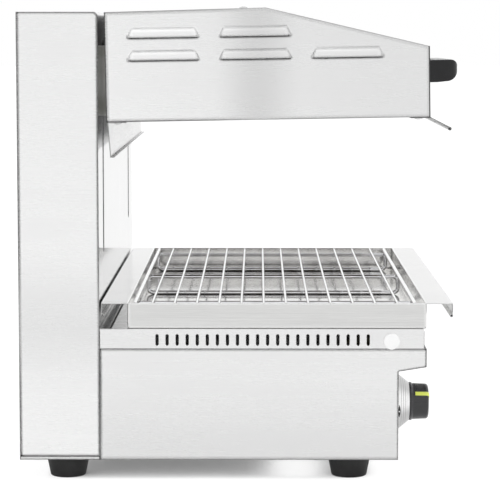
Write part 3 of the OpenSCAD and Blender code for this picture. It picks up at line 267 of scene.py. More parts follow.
def painted_fold_light(tree, metal, rounded, agree, line, up_line):
    """Paints a fold's highlight and its dark line of shade. An edge that looks up has a line of its own.
    """
    bright_from, bright_to, dark_from, dark_to = [
        math.cos(math.radians(degrees)) for degrees in BRIGHT_FOLD_DEG + DARK_FOLD_DEG
    ]
    bright = add(tree, "MapRange", {0: agree, 1: bright_from, 2: bright_to, 4: BRIGHT_FOLD})
    metal = add(tree, "Mix", {0: bright, 6: metal, 7: "#FFFFFF"}, data_type="RGBA")
    rounded_z = add(tree, "SeparateXYZ", {0: rounded}).outputs["Z"]
    upward = add(tree, "MapRange", {0: rounded_z, 1: 0.0, 2: LOOKS_UP})
    shade = add(tree, "Mix", {0: upward, 6: line, 7: up_line}, data_type="RGBA")
    dark = add(tree, "MapRange", {0: agree, 1: dark_from, 2: dark_to})
    return add(tree, "Mix", {0: dark, 6: metal, 7: shade}, data_type="RGBA")


def painted_seam_shade(tree, colour, most):
    """Paints shade into a colour where a point is closed in, as in a seam."""
    open_air = add(tree, "AmbientOcclusion", {"Distance": SEAM_SHADE_MM * MM}, samples=8).outputs["AO"]
    closed = {0: open_air, 1: SEAM_SHADE_OPEN[0], 2: SEAM_SHADE_OPEN[1], 3: most, 4: 0.0}
    closed = add(tree, "MapRange", closed)
    return add(tree, "Mix", {0: closed, 6: colour, 7: "#2E2C2A"}, data_type="RGBA")


def full_range(tree, noise):
    """Spreads the values that a noise mostly has over zero to one."""
    return add(tree, "MapRange", {0: noise, 1: NOISE_RANGE[0], 2: NOISE_RANGE[1]})


print("grime lies within", SEAM_SHADE_MM, "mm of a corner")

# %% [markdown]
# ## Brushed stainless steel
#
# The outer sheets are 1 mm 304 stainless steel with a number 4 finish: an abrasive belt has
# drawn straight lines along the sheet. To the eye that gives faint streaks, a soft reflection
# that is wider across the lines than along them, and broad cloudy patches where the belt
# pressed harder. Real scratches are under 0.1 mm wide, far less than a pixel here, so they
# are drawn about 1 mm wide, like the bundles in which they show. Two noise textures that are
# stretched along one axis make them: long runs, and the short grit marks that break the runs
# up. The direction belongs to each sheet, because a part is cut from the roll before it is
# folded.

# %% A mask by place


def within(tree, place, low, high):
    """One inside a box, and zero outside it."""
    middle = [(a + b) / 2 for a, b in zip(low, high)]
    half = [(b - a) / 2 for a, b in zip(low, high)]
    away = add(tree, "VectorMath", {0: place, 1: middle}, operation="SUBTRACT")
    away = add(tree, "VectorMath", {0: away}, operation="ABSOLUTE")
    room = add(tree, "VectorMath", {0: half, 1: away}, operation="SUBTRACT")
    parts = add(tree, "SeparateXYZ", {0: room}).outputs
    least = add(tree, "Math", {0: parts[0], 1: parts[1]}, operation="MINIMUM")
    least = add(tree, "Math", {0: least, 1: parts[2]}, operation="MINIMUM")
    return add(tree, "Math", {0: least, 1: 0.0}, operation="GREATER_THAN")


print("a mask is one inside its box")

# %% Brushed steel recipe
RUN_MM = (1.1, 260)
GRIT_MM = (0.8, 22)
CLOUD_MM = (33, 200)
CLOUD_CONTRAST = 0.8
FURROW_MM = 0.02
SHINE_SPREAD = 0.05
LINE = "#262626"
SHOULDER_HIGHLIGHT_RISE = (0.36, 0.54)
WIDTH, DEPTH, HEIGHT = 0, 1, 2


def brushed_steel(
    name, pale, streak, along, fold_mm, up_line=LINE, roughness=0.28, contrast=1.2, seam_shade=0.45, pressed=()
):
    """Steel with belt lines along one axis: 0 is the width, 1 the depth and 2 the height.

    In the boxes of pressed forms, the painted shade lines are faint and what looks up gets a white
    painted highlight."""
    material, tree, shader = start(name)
    place = add(tree, "TexCoord").outputs["Object"]
    layers = []
    for wide, long in (RUN_MM, GRIT_MM, CLOUD_MM):
        scale = [1 / (wide * MM)] * 3
        scale[along] = 1 / (long * MM)
        stretched = add(tree, "Mapping", {"Vector": place, "Scale": scale})
        belt = {"Vector": stretched, "Scale": 1.0, "Detail": 2.0, "Roughness": 0.6}
        layers.append(add(tree, "TexNoise", belt))
    lines = add(tree, "Math", {0: layers[0], 1: layers[1]}, operation="ADD")
    line_part = {0: lines, 1: contrast / 2, 2: 0.5 - contrast / 2}
    line_part = add(tree, "Math", line_part, operation="MULTIPLY_ADD")
    cloud_part = {0: layers[2], 1: CLOUD_CONTRAST, 2: -CLOUD_CONTRAST / 2}
    cloud_part = add(tree, "Math", cloud_part, operation="MULTIPLY_ADD")
    tone = add(tree, "Math", {0: line_part, 1: cloud_part}, operation="ADD", use_clamp=True)
    # Painted shade in the seams and corners.
    steel = painted_seam_shade(tree, add(tree, "Mix", {0: tone, 6: streak, 7: pale}, data_type="RGBA"), seam_shade)
    rounded, agree = edges(tree, fold_mm)
    shine = {0: tone, 3: roughness + SHINE_SPREAD, 4: roughness - SHINE_SPREAD}
    shine = add(tree, "MapRange", shine)
    furrows = {"Strength": 0.06, "Distance": FURROW_MM * MM, "Height": lines, "Normal": rounded}
    shader.inputs["Metallic"].default_value = 1.0
    line = LINE
    shoulder_highlights = []
    # In a louvre box the painted shade lines are fainter, and what looks up gets a painted highlight.
    for low, high in pressed:
        in_box = within(tree, place, low, high)
        line = add(tree, "Mix", {0: in_box, 6: line, 7: "#B0B0B0"}, data_type="RGBA")
        up_line = add(tree, "Mix", {0: in_box, 6: up_line, 7: "#FFFFFF"}, data_type="RGBA")
        own = add(tree, "NewGeometry").outputs["Normal"]
        own_up = add(tree, "SeparateXYZ", {0: own}).outputs["Z"]
        own_up = add(tree, "MapRange", {0: own_up, 1: SHOULDER_HIGHLIGHT_RISE[0], 2: SHOULDER_HIGHLIGHT_RISE[1]})
        shoulder_highlights.append(add(tree, "Math", {0: in_box, 1: own_up}, operation="MULTIPLY"))
    # Painted fold shade and highlight along the edges.
    steel = painted_fold_light(tree, steel, rounded, agree, line, up_line)
    # Painted highlight on the louvres' shoulders.
    for shoulder_highlight in shoulder_highlights:
        steel = add(tree, "Mix", {0: shoulder_highlight, 6: steel, 7: "#FFFFFF"}, data_type="RGBA")
    tree.links.new(steel.outputs[2], shader.inputs["Base Color"])
    tree.links.new(shine.outputs[0], shader.inputs["Roughness"])
    tree.links.new(add(tree, "Bump", furrows).outputs[0], shader.inputs["Normal"])
    return material


column_steel = brushed_steel("brushed_steel_column", "#F3F3F3", "#ECECEC", DEPTH, 4.6, "#565656")
base_steel = brushed_steel("brushed_steel_base", "#ECECEC", "#E6E6E6", DEPTH, 3.8)
hood_steel = brushed_steel("brushed_steel_hood_skin", "#ECECEC", "#E1E1E1", WIDTH, 4.0)
panel_steel = brushed_steel("brushed_steel_panels", "#E6E6E6", "#DADADA", WIDTH, 2.6)
deck_steel = brushed_steel("brushed_steel_deck", "#ECECEC", "#E3E3E3", DEPTH, 1.3, "#F8F8F8")
shield_steel = brushed_steel("brushed_steel_shield", "#F2F2F2", "#E8E8E8", WIDTH, 1.2)
print("belt lines", RUN_MM[0], "mm wide, grit marks", GRIT_MM[0], "mm")

# %% [markdown]
# The hood's sides have pressed louvres. Their upper edge is drawn into a soft shoulder, and
# the light it catches is a painted highlight; their cut lower lip gets a thin painted grey
# line of shade. The louvres stand out from the sheet, so the points of the CAD mesh that lie
# in front of it say where they are. Around them the recipe paints fainter shade lines, and a
# white painted highlight where the metal looks up.

# %% Hood side steel
FACE_OUT_MM = 3.0
ROW_END_MM = -60
BOX_MARGIN_MM = 3

hood_low, hood_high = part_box("hood_side_left")
side_points = [vertex.co for vertex in nodes["hood_side_left"].data.vertices]
raised = [point for point in side_points if point.x < hood_low[0] + FACE_OUT_MM * MM]
front_row = [point for point in raised if point.y < ROW_END_MM * MM]
rear_rows = [point for point in raised if point.y >= ROW_END_MM * MM]
louvre_boxes = []
for row in (front_row, rear_rows):
    low = [-1.0] + [min(point[k] for point in row) - BOX_MARGIN_MM * MM for k in (DEPTH, HEIGHT)]
    high = [1.0] + [max(point[k] for point in row) + BOX_MARGIN_MM * MM for k in (DEPTH, HEIGHT)]
    louvre_boxes.append((low, high))
hood_side_steel = brushed_steel(
    "brushed_steel_hood_side",
    "#F5F5F5",
    "#EEEEEE",
    DEPTH,
    3.8,
    up_line="#8A8A8A",
    seam_shade=0.1,
    pressed=louvre_boxes,
)
print("louvres reach from y", round(min(point.y for point in raised), 4))
print("and to y", round(max(point.y for point in raised), 4))

# %% [markdown]
# No sheet is evenly bright. Soft broad grey bands are painted into the colour. The hood's
# sides get a painted reflection, a darker band across the middle beside the heating elements,
# and grow a little greyer towards the front. The column is greyer in a band above the base,
# and the base is greyer towards the table. Each is one soft range along an axis.

# %% Soft bands


def soft_band(material, axis, middle_mm, reach_mm, most, tone):
    """Greys a sheet around one place along an axis, and fades out on both sides of it."""
    tree = material.node_tree
    colour = tree.nodes["Principled BSDF"].inputs["Base Color"]
    along = add(tree, "SeparateXYZ", {0: add(tree, "TexCoord").outputs["Object"]}).outputs[axis]
    away = add(tree, "Math", {0: along, 1: middle_mm * MM}, operation="SUBTRACT")
    away = add(tree, "Math", {0: away}, operation="ABSOLUTE")
    amount = {0: away, 1: reach_mm * MM, 2: 0.0, 4: most}
    amount = add(tree, "MapRange", amount, interpolation_type="SMOOTHSTEP")
    sheet = colour.links[0].from_socket
    tree.links.new(add(tree, "Mix", {0: amount, 6: sheet, 7: tone}, data_type="RGBA").outputs[2], colour)


# Painted reflection: a darker band across the middle of the hood's sides.
soft_band(hood_side_steel, DEPTH, -13, 54, 0.75, "#CCCCCC")
soft_band(hood_side_steel, DEPTH, hood_low[1] / MM, 430, 0.6, "#DADADA")
soft_band(column_steel, HEIGHT, 180, 90, 0.5, "#D6D6D6")
soft_band(base_steel, HEIGHT, 20, 110, 0.5, "#D6D6D6")
print("hood side runs from y", round(hood_low[1], 4), "to", round(hood_high[1], 4))

# %% [markdown]
# The side sheet of the hood ends at the front in a cut edge, with the skin's front behind it.
# The thin shadow between the two is a dark line down the whole edge. It follows the hood's
# small lean, so it is measured along the hood's own forward direction.

# %% The hood's front seam
HOOD_UP = Vector((0, 0.01675, 0.99986))
FORWARD = Vector((0, -HOOD_UP.z, HOOD_UP.y))
SEAM_MM = (0.9, 2.0)
SEAM_DARK = 0.85

front_end = max(point.dot(FORWARD) for point in side_points)
tree = hood_side_steel.node_tree
colour = tree.nodes["Principled BSDF"].inputs["Base Color"]
place = add(tree, "TexCoord").outputs["Object"]
forward = add(tree, "VectorMath", {0: place, 1: tuple(FORWARD)}, operation="DOT_PRODUCT")
seam = {1: front_end - SEAM_MM[1] * MM, 2: front_end - SEAM_MM[0] * MM, 4: SEAM_DARK}
seam = add(tree, "MapRange", {0: forward} | seam)
sheet = colour.links[0].from_socket
tree.links.new(add(tree, "Mix", {0: seam, 6: sheet, 7: LINE}, data_type="RGBA").outputs[2], colour)
print("the hood's front edge lies", round(front_end, 4), "m forward")

# %% [markdown]
# The tray is one pressed piece of the same steel, but it doesn't look the same all over. Its
# outer walls keep clear belt lines. Its inside is scoured after every shift, which leaves it
# paler and closer to a mirror, with the hood's black mouth in it. Its flanges, the top of
# the tray, are the palest. So the tray's finish is the brushed recipe with two masks by
# place: a point inside the walls, and a point up on a flange.

# %% Tray steel
FLANGE_MM = 29.2
WALL_MM = 1.0
SCOUR_PER_M = 45
SCOURED_ROUGHNESS = 0.12
FLANGE_PALER = 0.6

tray_low, tray_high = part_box("drip_tray")
tray_steel = brushed_steel("brushed_steel_tray", "#DEDEDD", "#CECECD", DEPTH, 3.2, "#F8F8F8", 0.22, 1.8)
tree = tray_steel.node_tree
shader = tree.nodes["Principled BSDF"]
place = add(tree, "TexCoord").outputs["Object"]
outside_colour = shader.inputs["Base Color"].links[0].from_socket
outside_roughness = shader.inputs["Roughness"].links[0].from_socket
wall = WALL_MM * MM / 2
flange = FLANGE_MM * MM
inner_low = (tray_low[0] + wall, tray_low[1] + flange + wall, tray_low[2] + wall)
inner_high = (tray_high[0] - wall, tray_high[1] - flange - wall, tray_high[2] + wall)
inside = within(tree, place, inner_low, inner_high)
scour = add(tree, "TexNoise", {"Vector": place, "Scale": SCOUR_PER_M, "Detail": 8.0})
scour = full_range(tree, scour)
scoured = add(tree, "Mix", {0: scour, 6: "#E2E1DF", 7: "#F4F3F1"}, data_type="RGBA")
body_colour = add(tree, "Mix", {0: inside, 6: outside_colour, 7: scoured}, data_type="RGBA")
body_roughness = add(tree, "Mix", {0: inside, 2: outside_roughness, 3: SCOURED_ROUGHNESS})
on_flange = add(tree, "SeparateXYZ", {0: place}).outputs["Z"]
on_flange = {0: on_flange, 1: tray_high[2] - 2 * wall, 2: tray_high[2] - wall, 4: FLANGE_PALER}
on_flange = add(tree, "MapRange", on_flange)
tray_colour = add(tree, "Mix", {0: on_flange, 6: body_colour, 7: "#FAFAFA"}, data_type="RGBA")
tree.links.new(tray_colour.outputs[2], shader.inputs["Base Color"])
tree.links.new(body_roughness.outputs[0], shader.inputs["Roughness"])
print("tray steel is scoured from", [round(value, 4) for value in inner_low])
print("to", [round(value, 4) for value in inner_high])

# %% [markdown]
# The gap between the column and the tray lies deep below the tray's rear flange. On bright
# metal a good deal of light still gets there, but only after more bounces than a render
# follows. A faint glow of the deck in that gap, and nowhere else, stands for it.

# %% Light under the tray's rear flange
UNDER_GLOW = 0.3
UNDER_DEEP_MM = 40
BEHIND_TRAY_MM = 20

deck_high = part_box("deck_pan")[1]
tree = deck_steel.node_tree
shader = tree.nodes["Principled BSDF"]
place = add(tree, "TexCoord").outputs["Object"]
gap_low = (tray_low[0], tray_high[1] - flange, deck_high[2] - UNDER_DEEP_MM * MM)
gap_high = (tray_high[0], tray_high[1] + BEHIND_TRAY_MM * MM, tray_high[2])
in_gap = within(tree, place, gap_low, gap_high)
gap_glow = add(tree, "Math", {0: in_gap, 1: UNDER_GLOW}, operation="MULTIPLY")
shader.inputs["Emission Color"].default_value = linear("#FFFFFF")
tree.links.new(gap_glow.outputs[0], shader.inputs["Emission Strength"])
print("deck top at z", round(deck_high[2], 4), "and the tray from z", round(tray_low[2], 4))

# %% [markdown]
# ## Bright rolled steel
#
# The column's front panel and the rack's chromed wire are almost mirrors, with a faint haze
# and slight waves from the rollers. So the roughness is low, and a very wide, shallow bump
# makes the reflections swim a little. The same recipe with other colours makes the screws,
# the zinc-plated brackets, the bronze bushes and the reflector. The rack's foot loops are the
# same chrome, painted greyer than its straight wires as a painted reflection of the dark
# hood mouth, with painted shade where they meet them. The reflector has been hot for years:
# oxide and burnt fat have turned it brown and dull, and that dark mouth above the rack is
# what the tray and the wires reflect.

# %% Bright steel recipe
HAZE_PER_M = 35
WAVE_DEEP_MM = 0.4
BRIGHT_SEAM_SHADE = 0.45
SHINE_SHARE = (0.7, 1.3)


def bright_steel(name, pale, tint, roughness, waves_mm=120, line="#505050", fold_mm=2.0, drawn=1.0):
    """Bright metal with roll waves and a cloudy tint, which drawn stretches upright."""
    material, tree, shader = start(name)
    place = add(tree, "TexCoord").outputs["Object"]
    waves = add(tree, "TexNoise", {"Vector": place, "Scale": 1 / (waves_mm * MM), "Detail": 1.0})
    upright = add(tree, "Mapping", {"Vector": place, "Scale": (drawn, drawn, 1 / drawn)})
    haze = add(tree, "TexNoise", {"Vector": upright, "Scale": HAZE_PER_M, "Detail": 6.0})
    tone = full_range(tree, haze)
    metal = add(tree, "Mix", {0: tone, 6: pale, 7: tint}, data_type="RGBA")
    metal = painted_seam_shade(tree, metal, BRIGHT_SEAM_SHADE)
    rounded, agree = edges(tree, fold_mm)
    swim = {"Strength": 0.25, "Distance": WAVE_DEEP_MM * MM, "Height": waves, "Normal": rounded}
    shine = {0: haze, 3: roughness * SHINE_SHARE[0], 4: roughness * SHINE_SHARE[1]}
    shine = add(tree, "MapRange", shine)
    shader.inputs["Metallic"].default_value = 1.0
    metal = painted_fold_light(tree, metal, rounded, agree, line, line)
    tree.links.new(metal.outputs[2], shader.inputs["Base Color"])
    tree.links.new(shine.outputs[0], shader.inputs["Roughness"])
    tree.links.new(add(tree, "Bump", swim).outputs[0], shader.inputs["Normal"])
    return material


mirror_panel = bright_steel("bright_annealed_panel", "#E0E0E0", "#D2D2D2", 0.08, drawn=3.0)
hot_reflector = bright_steel("burnt_reflector", "#8C8478", "#5F564A", 0.38, 60, "#3A342C")
rack_wire = bright_steel("chromed_wire", "#FDFDFD", "#F1F1F2", 0.08, 30, "#F4F4F5", 0.2)
screw_steel = bright_steel("bright_screws", "#EDEDED", "#DADADA", 0.16, 20, "#3A3A3A", 0.5)
ground_steel = bright_steel("ground_rods", "#C9CBCE", "#B9BBBE", 0.15, 15, "#6A6A6A", 0.4)
zinc_plate = bright_steel("zinc_plated_brackets", "#939390", "#7C7C76", 0.32, 40)
bronze = bright_steel("sintered_bronze", "#B8935A", "#9A763F", 0.34, 10, "#D2B077", 0.4)
burnt_tube = bright_steel("oxidised_element_tube", "#4B4845", "#2F2A28", 0.45, 12, "#4A4642", 0.2)
# Painted reflection: the foot loops are the same chrome, painted darker than the wires.
painted_dark_loop_wire = bright_steel("chromed_loop_wire", "#F2F2F4", "#CCCCCE", 0.06, 30, "#1E1E1E", 0.8)
print("rack wires:", rack_wire.name, "and foot loops:", painted_dark_loop_wire.name)

# %% [markdown]
# ## Moulded plastic, rubber and paint
#
# The knobs, the handle and the plug are injection moulded: glass-filled polyamide and ABS
# copy the fine spark texture of their mould, about 0.1 mm coarse, with a broad soft shine.
# The feet are black EPDM rubber, duller and dusty. All of them are dielectrics, so the
# colour is matt and the shine on top is white. Their edges get another tone: partly wear,
# where handling rubs them paler, and partly painted edge light, a painted highlight on the
# dark rims and a painted grey outline round the white plug.

# %% Moulded recipe
CLOUDS_PER_M = 60
SPARK_MM = 0.012
MATT_SEAM_SHADE = 0.5
EDGE_TONE_FROM, EDGE_TONE_TO = 0.995, 0.8


def moulded(name, colour, cloudy, roughness, grain_mm, edge_tone, edge_mm=0.8, specular=0.5, coat=0.0):
    """A moulded or painted dielectric with a fine grain, clouds of colour, and edges in another tone:
    wear, and painted edge light.
    """
    material, tree, shader = start(name)
    place = add(tree, "TexCoord").outputs["Object"]
    grain = add(tree, "TexNoise", {"Vector": place, "Scale": 1 / (grain_mm * MM), "Detail": 2.0})
    clouds = add(tree, "TexNoise", {"Vector": place, "Scale": CLOUDS_PER_M, "Detail": 5.0})
    tone = full_range(tree, clouds)
    body = add(tree, "Mix", {0: tone, 6: colour, 7: cloudy}, data_type="RGBA")
    body = painted_seam_shade(tree, body, MATT_SEAM_SHADE)
    rounded, agree = edges(tree, edge_mm)
    # Edge tone: wear, plus a painted highlight on dark rims and a painted outline on the white plug.
    edge_wear_and_light = add(tree, "MapRange", {0: agree, 1: EDGE_TONE_FROM, 2: EDGE_TONE_TO})
    edge_wear_and_light = add(tree, "Math", {0: edge_wear_and_light, 1: clouds}, operation="MULTIPLY")
    body = add(tree, "Mix", {0: edge_wear_and_light, 6: body, 7: edge_tone}, data_type="RGBA")
    spark = {"Strength": 0.3, "Distance": SPARK_MM * MM, "Height": grain, "Normal": rounded}
    shine = add(tree, "MapRange", {0: clouds, 3: roughness - 0.05, 4: roughness + 0.08})
    tree.links.new(body.outputs[2], shader.inputs["Base Color"])
    tree.links.new(shine.outputs[0], shader.inputs["Roughness"])
    tree.links.new(add(tree, "Bump", spark).outputs[0], shader.inputs["Normal"])
    shader.inputs["Specular IOR Level"].default_value = specular
    shader.inputs["Coat Weight"].default_value = coat
    return material


# The edge colours below are partly painted light: pale highlights on the black rims, a grey outline on
# the plug.
knob_plastic = moulded("black_polyamide_knob", "#0D0D0F", "#151518", 0.16, 0.4, "#8A8A90", 1.2, 0.75)
handle_plastic = moulded("black_phenolic_handle", "#0F0F10", "#171719", 0.18, 0.6, "#8A8A8E", 1.8, 0.35)
pointer_lime = moulded("lime_pointer", "#DDE95A", "#E6F07A", 0.4, 0.4, "#F2F8B8")
plug_white = moulded("white_polyethylene_plug", "#FDFDFD", "#F6F6F6", 0.35, 0.5, "#6E6E6C", 1.4)
foot_rubber = moulded("black_rubber_feet", "#222222", "#2E2E2E", 0.5, 0.5, "#6A6A6A", 1.2, 0.3)
gland_black = moulded("black_polyamide_gland", "#1E1E1E", "#282828", 0.45, 0.4, "#4C4C4C")
strut_paint = moulded("gloss_black_strut", "#18181A", "#222224", 0.14, 1.2, "#3C3C40", coat=0.6)
regulator_cream = moulded("cream_steatite", "#E6E0CC", "#D8CFB4", 0.5, 0.5, "#F0ECDF")
ceramic = moulded("glazed_ceramic", "#F1EFE8", "#E4E0D4", 0.18, 1.5, "#FAF8F2", coat=0.5)
print("knobs:", knob_plastic.name, "and feet:", foot_rubber.name)

# %% [markdown]
# The pilot lamps are small domes of clear coloured polycarbonate. Most of their colour comes
# from light that passes through, so they get some transmission, set on the shader itself.

# %% Lamp lenses
LENS_CLEAR = 0.35
POLYCARBONATE_IOR = 1.58


def lens(name, colour, deep):
    """Clear coloured polycarbonate with faint moulded flutes."""
    material = moulded(name, colour, deep, 0.15, 1.0, colour, coat=0.3)
    shader = material.node_tree.nodes["Principled BSDF"]
    shader.inputs["Transmission Weight"].default_value = LENS_CLEAR
    shader.inputs["IOR"].default_value = POLYCARBONATE_IOR
    return material


amber_lens = lens("amber_lens", "#E98A1C", "#C96A0C")
green_lens = lens("green_lens", "#3DB04B", "#1F8A33")
print("lenses:", amber_lens.name, green_lens.name)

# %% [markdown]
# The bezels are turned from aluminium and anodised. A lathe leaves rings around the axis of
# each knob, so the pattern here depends only on the distance from that axis: a fine random
# one for the tool marks, and a few deeper rings that are cut on purpose. The rings spread a
# reflection across them, so such a cone shows one bright streak along its slope, a little
# above the middle, and is greyer on both sides of it; this reflection is painted into the
# colour by the angle around the axis.
#
# The bezel also carries the scale of the knob, screen printed in black. The off mark sits on
# the cone by the rim, just below the operator's left: a slim lens with a white dot. From the
# top the heat grows clockwise, and a wedge on the cone grows with it. Both are found from the
# angle around the axis, counted clockwise from the operator's left as seen from the front.

# %% Turned aluminium
MARK_MM = 0.5
MARK_DEEP_MM = 0.03
RING_PITCH_MM = 2.0
RING_CUT_MM = (0.3, 0.5)
RING_ZONE_MM = (24.5, 31.5)
BEZEL_EDGE_MM = 0.9
BEZEL_ROUGHNESS = 0.2
OFF_DEG = -12
OFF_HALF_DEG = 14
OFF_WIDE_MM = 1.6
BEZEL_HIGH_MM = 18.2
OFF_FROM_PANEL_MM = 5.4
DOT_MM = 0.75
HEAT_DEG = (79, 259)
HEAT_INNER_MM = 26.5
HEAT_WIDE_MM = 4.0
STREAK_DEG = 10
STREAK_FADE_DEG = (7, 36)
STREAK_FADE = 0.42

bezel_low, bezel_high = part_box("knob_bezel_left")
knob_x = -(bezel_low[0] + bezel_high[0]) / 2
knob_z = (bezel_low[2] + bezel_high[2]) / 2


def turned_aluminium(name, pale, dark):
    """Satin anodised aluminium with lathe rings around both knob axes, and the knob's scale."""
    material, tree, shader = start(name)
    split = add(tree, "SeparateXYZ", {0: add(tree, "TexCoord").outputs["Object"]}).outputs
    side = add(tree, "Math", {0: split["X"]}, operation="SIGN")
    axis = add(tree, "Math", {0: side, 1: knob_x}, operation="MULTIPLY")
    leftward = add(tree, "Math", {0: axis, 1: split["X"]}, operation="SUBTRACT")
    above = add(tree, "Math", {0: split["Z"], 1: knob_z}, operation="SUBTRACT")
    offset = add(tree, "CombineXYZ", {"X": leftward, "Z": above})
    radius = add(tree, "VectorMath", {0: offset}, operation="LENGTH")
    angle = add(tree, "Math", {0: above, 1: leftward}, operation="ARCTAN2")
    angle = add(tree, "Math", {0: angle, 1: 180 / math.pi}, operation="MULTIPLY")

    turns = add(tree, "Math", {0: radius, 1: 1 / (MARK_MM * MM)}, operation="MULTIPLY")
    marks = add(tree, "TexNoise", {"W": turns, "Scale": 1.0, "Detail": 2.0}, noise_dimensions="1D")
    phase = add(tree, "Math", {0: radius, 1: RING_PITCH_MM * MM}, operation="MODULO")
    cut = {0: phase, 1: RING_CUT_MM[0] * MM, 2: RING_CUT_MM[1] * MM, 3: 0.5, 4: 0.0}
    cut = add(tree, "MapRange", cut)
    inner, outer = [r * MM for r in RING_ZONE_MM]
    from_middle = add(tree, "Math", {0: radius, 1: (inner + outer) / 2}, operation="SUBTRACT")
    from_middle = add(tree, "Math", {0: from_middle}, operation="ABSOLUTE")
    in_zone = add(tree, "Math", {0: from_middle, 1: (outer - inner) / 2}, operation="LESS_THAN")
    ring = add(tree, "Math", {0: cut, 1: in_zone}, operation="MULTIPLY")
    metal = add(tree, "Mix", {0: marks, 6: dark, 7: pale}, data_type="RGBA")
    metal = add(tree, "Mix", {0: ring, 6: metal, 7: "#5A5A5A"}, data_type="RGBA")
    # Painted reflection: greyer away from the bright streak, by angle.
    from_streak = add(tree, "Math", {0: angle, 1: STREAK_DEG}, operation="SUBTRACT")
    from_streak = add(tree, "Math", {0: from_streak}, operation="ABSOLUTE")
    painted_streak_fade = {0: from_streak, 1: STREAK_FADE_DEG[0], 2: STREAK_FADE_DEG[1], 4: STREAK_FADE}
    painted_streak_fade = add(tree, "MapRange", painted_streak_fade, interpolation_type="SMOOTHSTEP")
    metal = add(tree, "Mix", {0: painted_streak_fade, 6: metal, 7: "#6E6E6E"}, data_type="RGBA")
    rounded, agree = edges(tree, BEZEL_EDGE_MM)
    metal = painted_fold_light(tree, metal, rounded, agree, "#7A7A7A", "#7A7A7A")

    from_off = add(tree, "Math", {0: angle, 1: OFF_DEG}, operation="SUBTRACT")
    share = add(tree, "Math", {0: from_off, 1: OFF_HALF_DEG}, operation="DIVIDE")
    square = add(tree, "Math", {0: share, 1: 2.0}, operation="POWER")
    slim = add(tree, "Math", {0: 1.0, 1: square}, operation="SUBTRACT")
    reach = add(tree, "Math", {0: slim, 1: OFF_WIDE_MM * MM}, operation="MULTIPLY")
    mark_y = bezel_low[1] + (BEZEL_HIGH_MM - OFF_FROM_PANEL_MM) * MM
    sideways = add(tree, "Math", {0: split["Y"], 1: mark_y}, operation="SUBTRACT")
    sideways = add(tree, "Math", {0: sideways}, operation="ABSOLUTE")
    in_lens = add(tree, "Math", {0: sideways, 1: reach}, operation="LESS_THAN")
    arc = add(tree, "Math", {0: from_off, 1: math.pi / 180}, operation="MULTIPLY")
    arc = add(tree, "Math", {0: arc, 1: radius}, operation="MULTIPLY")
    to_dot = add(tree, "CombineXYZ", {"X": arc, "Y": sideways})
    to_dot = add(tree, "VectorMath", {0: to_dot}, operation="LENGTH")
    in_dot = add(tree, "Math", {0: to_dot, 1: DOT_MM * MM}, operation="LESS_THAN")

    from_zero = add(tree, "Math", {0: angle, 1: HEAT_DEG[0]}, operation="SUBTRACT")
    whole_turn = add(tree, "Math", {0: from_zero, 1: 720.0}, operation="ADD")
    clockwise = add(tree, "Math", {0: whole_turn, 1: 360.0}, operation="MODULO")
    sweep = HEAT_DEG[1] - HEAT_DEG[0]
    wedge = add(tree, "MapRange", {0: clockwise, 1: 0.0, 2: sweep, 4: HEAT_WIDE_MM * MM})
    below_end = add(tree, "Math", {0: clockwise, 1: sweep}, operation="LESS_THAN")
    beyond = add(tree, "Math", {0: radius, 1: HEAT_INNER_MM * MM}, operation="SUBTRACT")
    outside = add(tree, "Math", {0: beyond, 1: 0.0}, operation="GREATER_THAN")
    inside = add(tree, "Math", {0: beyond, 1: wedge}, operation="LESS_THAN")
    in_wedge = add(tree, "Math", {0: below_end, 1: outside}, operation="MULTIPLY")
    in_wedge = add(tree, "Math", {0: in_wedge, 1: inside}, operation="MULTIPLY")

    printed = add(tree, "Math", {0: in_lens, 1: in_wedge}, operation="MAXIMUM")
    colour = add(tree, "Mix", {0: printed, 6: metal, 7: "#141414"}, data_type="RGBA")
    colour = add(tree, "Mix", {0: in_dot, 6: colour, 7: "#F4F4F4"}, data_type="RGBA")
    bare = add(tree, "Math", {0: 1.0, 1: printed}, operation="SUBTRACT")
    groove = {"Strength": 0.25, "Distance": MARK_DEEP_MM * MM, "Height": marks, "Normal": rounded}
    shader.inputs["Roughness"].default_value = BEZEL_ROUGHNESS
    tree.links.new(bare.outputs[0], shader.inputs["Metallic"])
    tree.links.new(colour.outputs[2], shader.inputs["Base Color"])
    tree.links.new(add(tree, "Bump", groove).outputs[0], shader.inputs["Normal"])
    return material


bezel_silver = turned_aluminium("turned_aluminium_bezel", "#FFFFFF", "#E4E4E4")
print("knob axes at x", round(knob_x, 4), "and z", round(knob_z, 4))

# %% [markdown]
# ## Dress every solid
#
# The record gives each solid a slot, and each slot is one finish. A few solids that share a
# slot differ in the photograph, because their sheets were cut in another direction or stand
# in another light, and those are named one by one.

# %% Assign the finishes
FINISH_OF_SLOT = {
    "brushed_side": base_steel,
    "brushed_hood": hood_steel,
    "brushed_deck": panel_steel,
    "bright_panel": mirror_panel,
    "bright_reflector": hot_reflector,
    "tray_steel": tray_steel,
    "rack_chrome": rack_wire,
    "white_plastic": plug_white,
    "foot_rubber": foot_rubber,
    "screw_steel": screw_steel,
    "regulator_ceramic": regulator_cream,
    "bezel_aluminium": bezel_silver,
    "shaft_steel": ground_steel,
    "knob_plastic": knob_plastic,
    "pointer_lime": pointer_lime,
    "lamp_orange": amber_lens,
    "lamp_green": green_lens,
    "gland_plastic": gland_black,
    "bracket_zinc": zinc_plate,
    "strut_paint": strut_paint,
    "bush_bronze": bronze,
    "element_tube": burnt_tube,
    "white_ceramic": ceramic,
    "handle_plastic": handle_plastic,
}
FINISH_OF_NODE = {
    "column_side_left": column_steel,
    "column_side_right": column_steel,
    "hood_side_left": hood_side_steel,
    "hood_side_right": hood_side_steel,
    "deck_pan": deck_steel,
    "rear_shield": shield_steel,
    "rack_foot_loops": painted_dark_loop_wire,
}


def dress(obj, material):
    """Gives an object one finish on all of its faces."""
    obj.data.materials.clear()
    obj.data.materials.append(material)


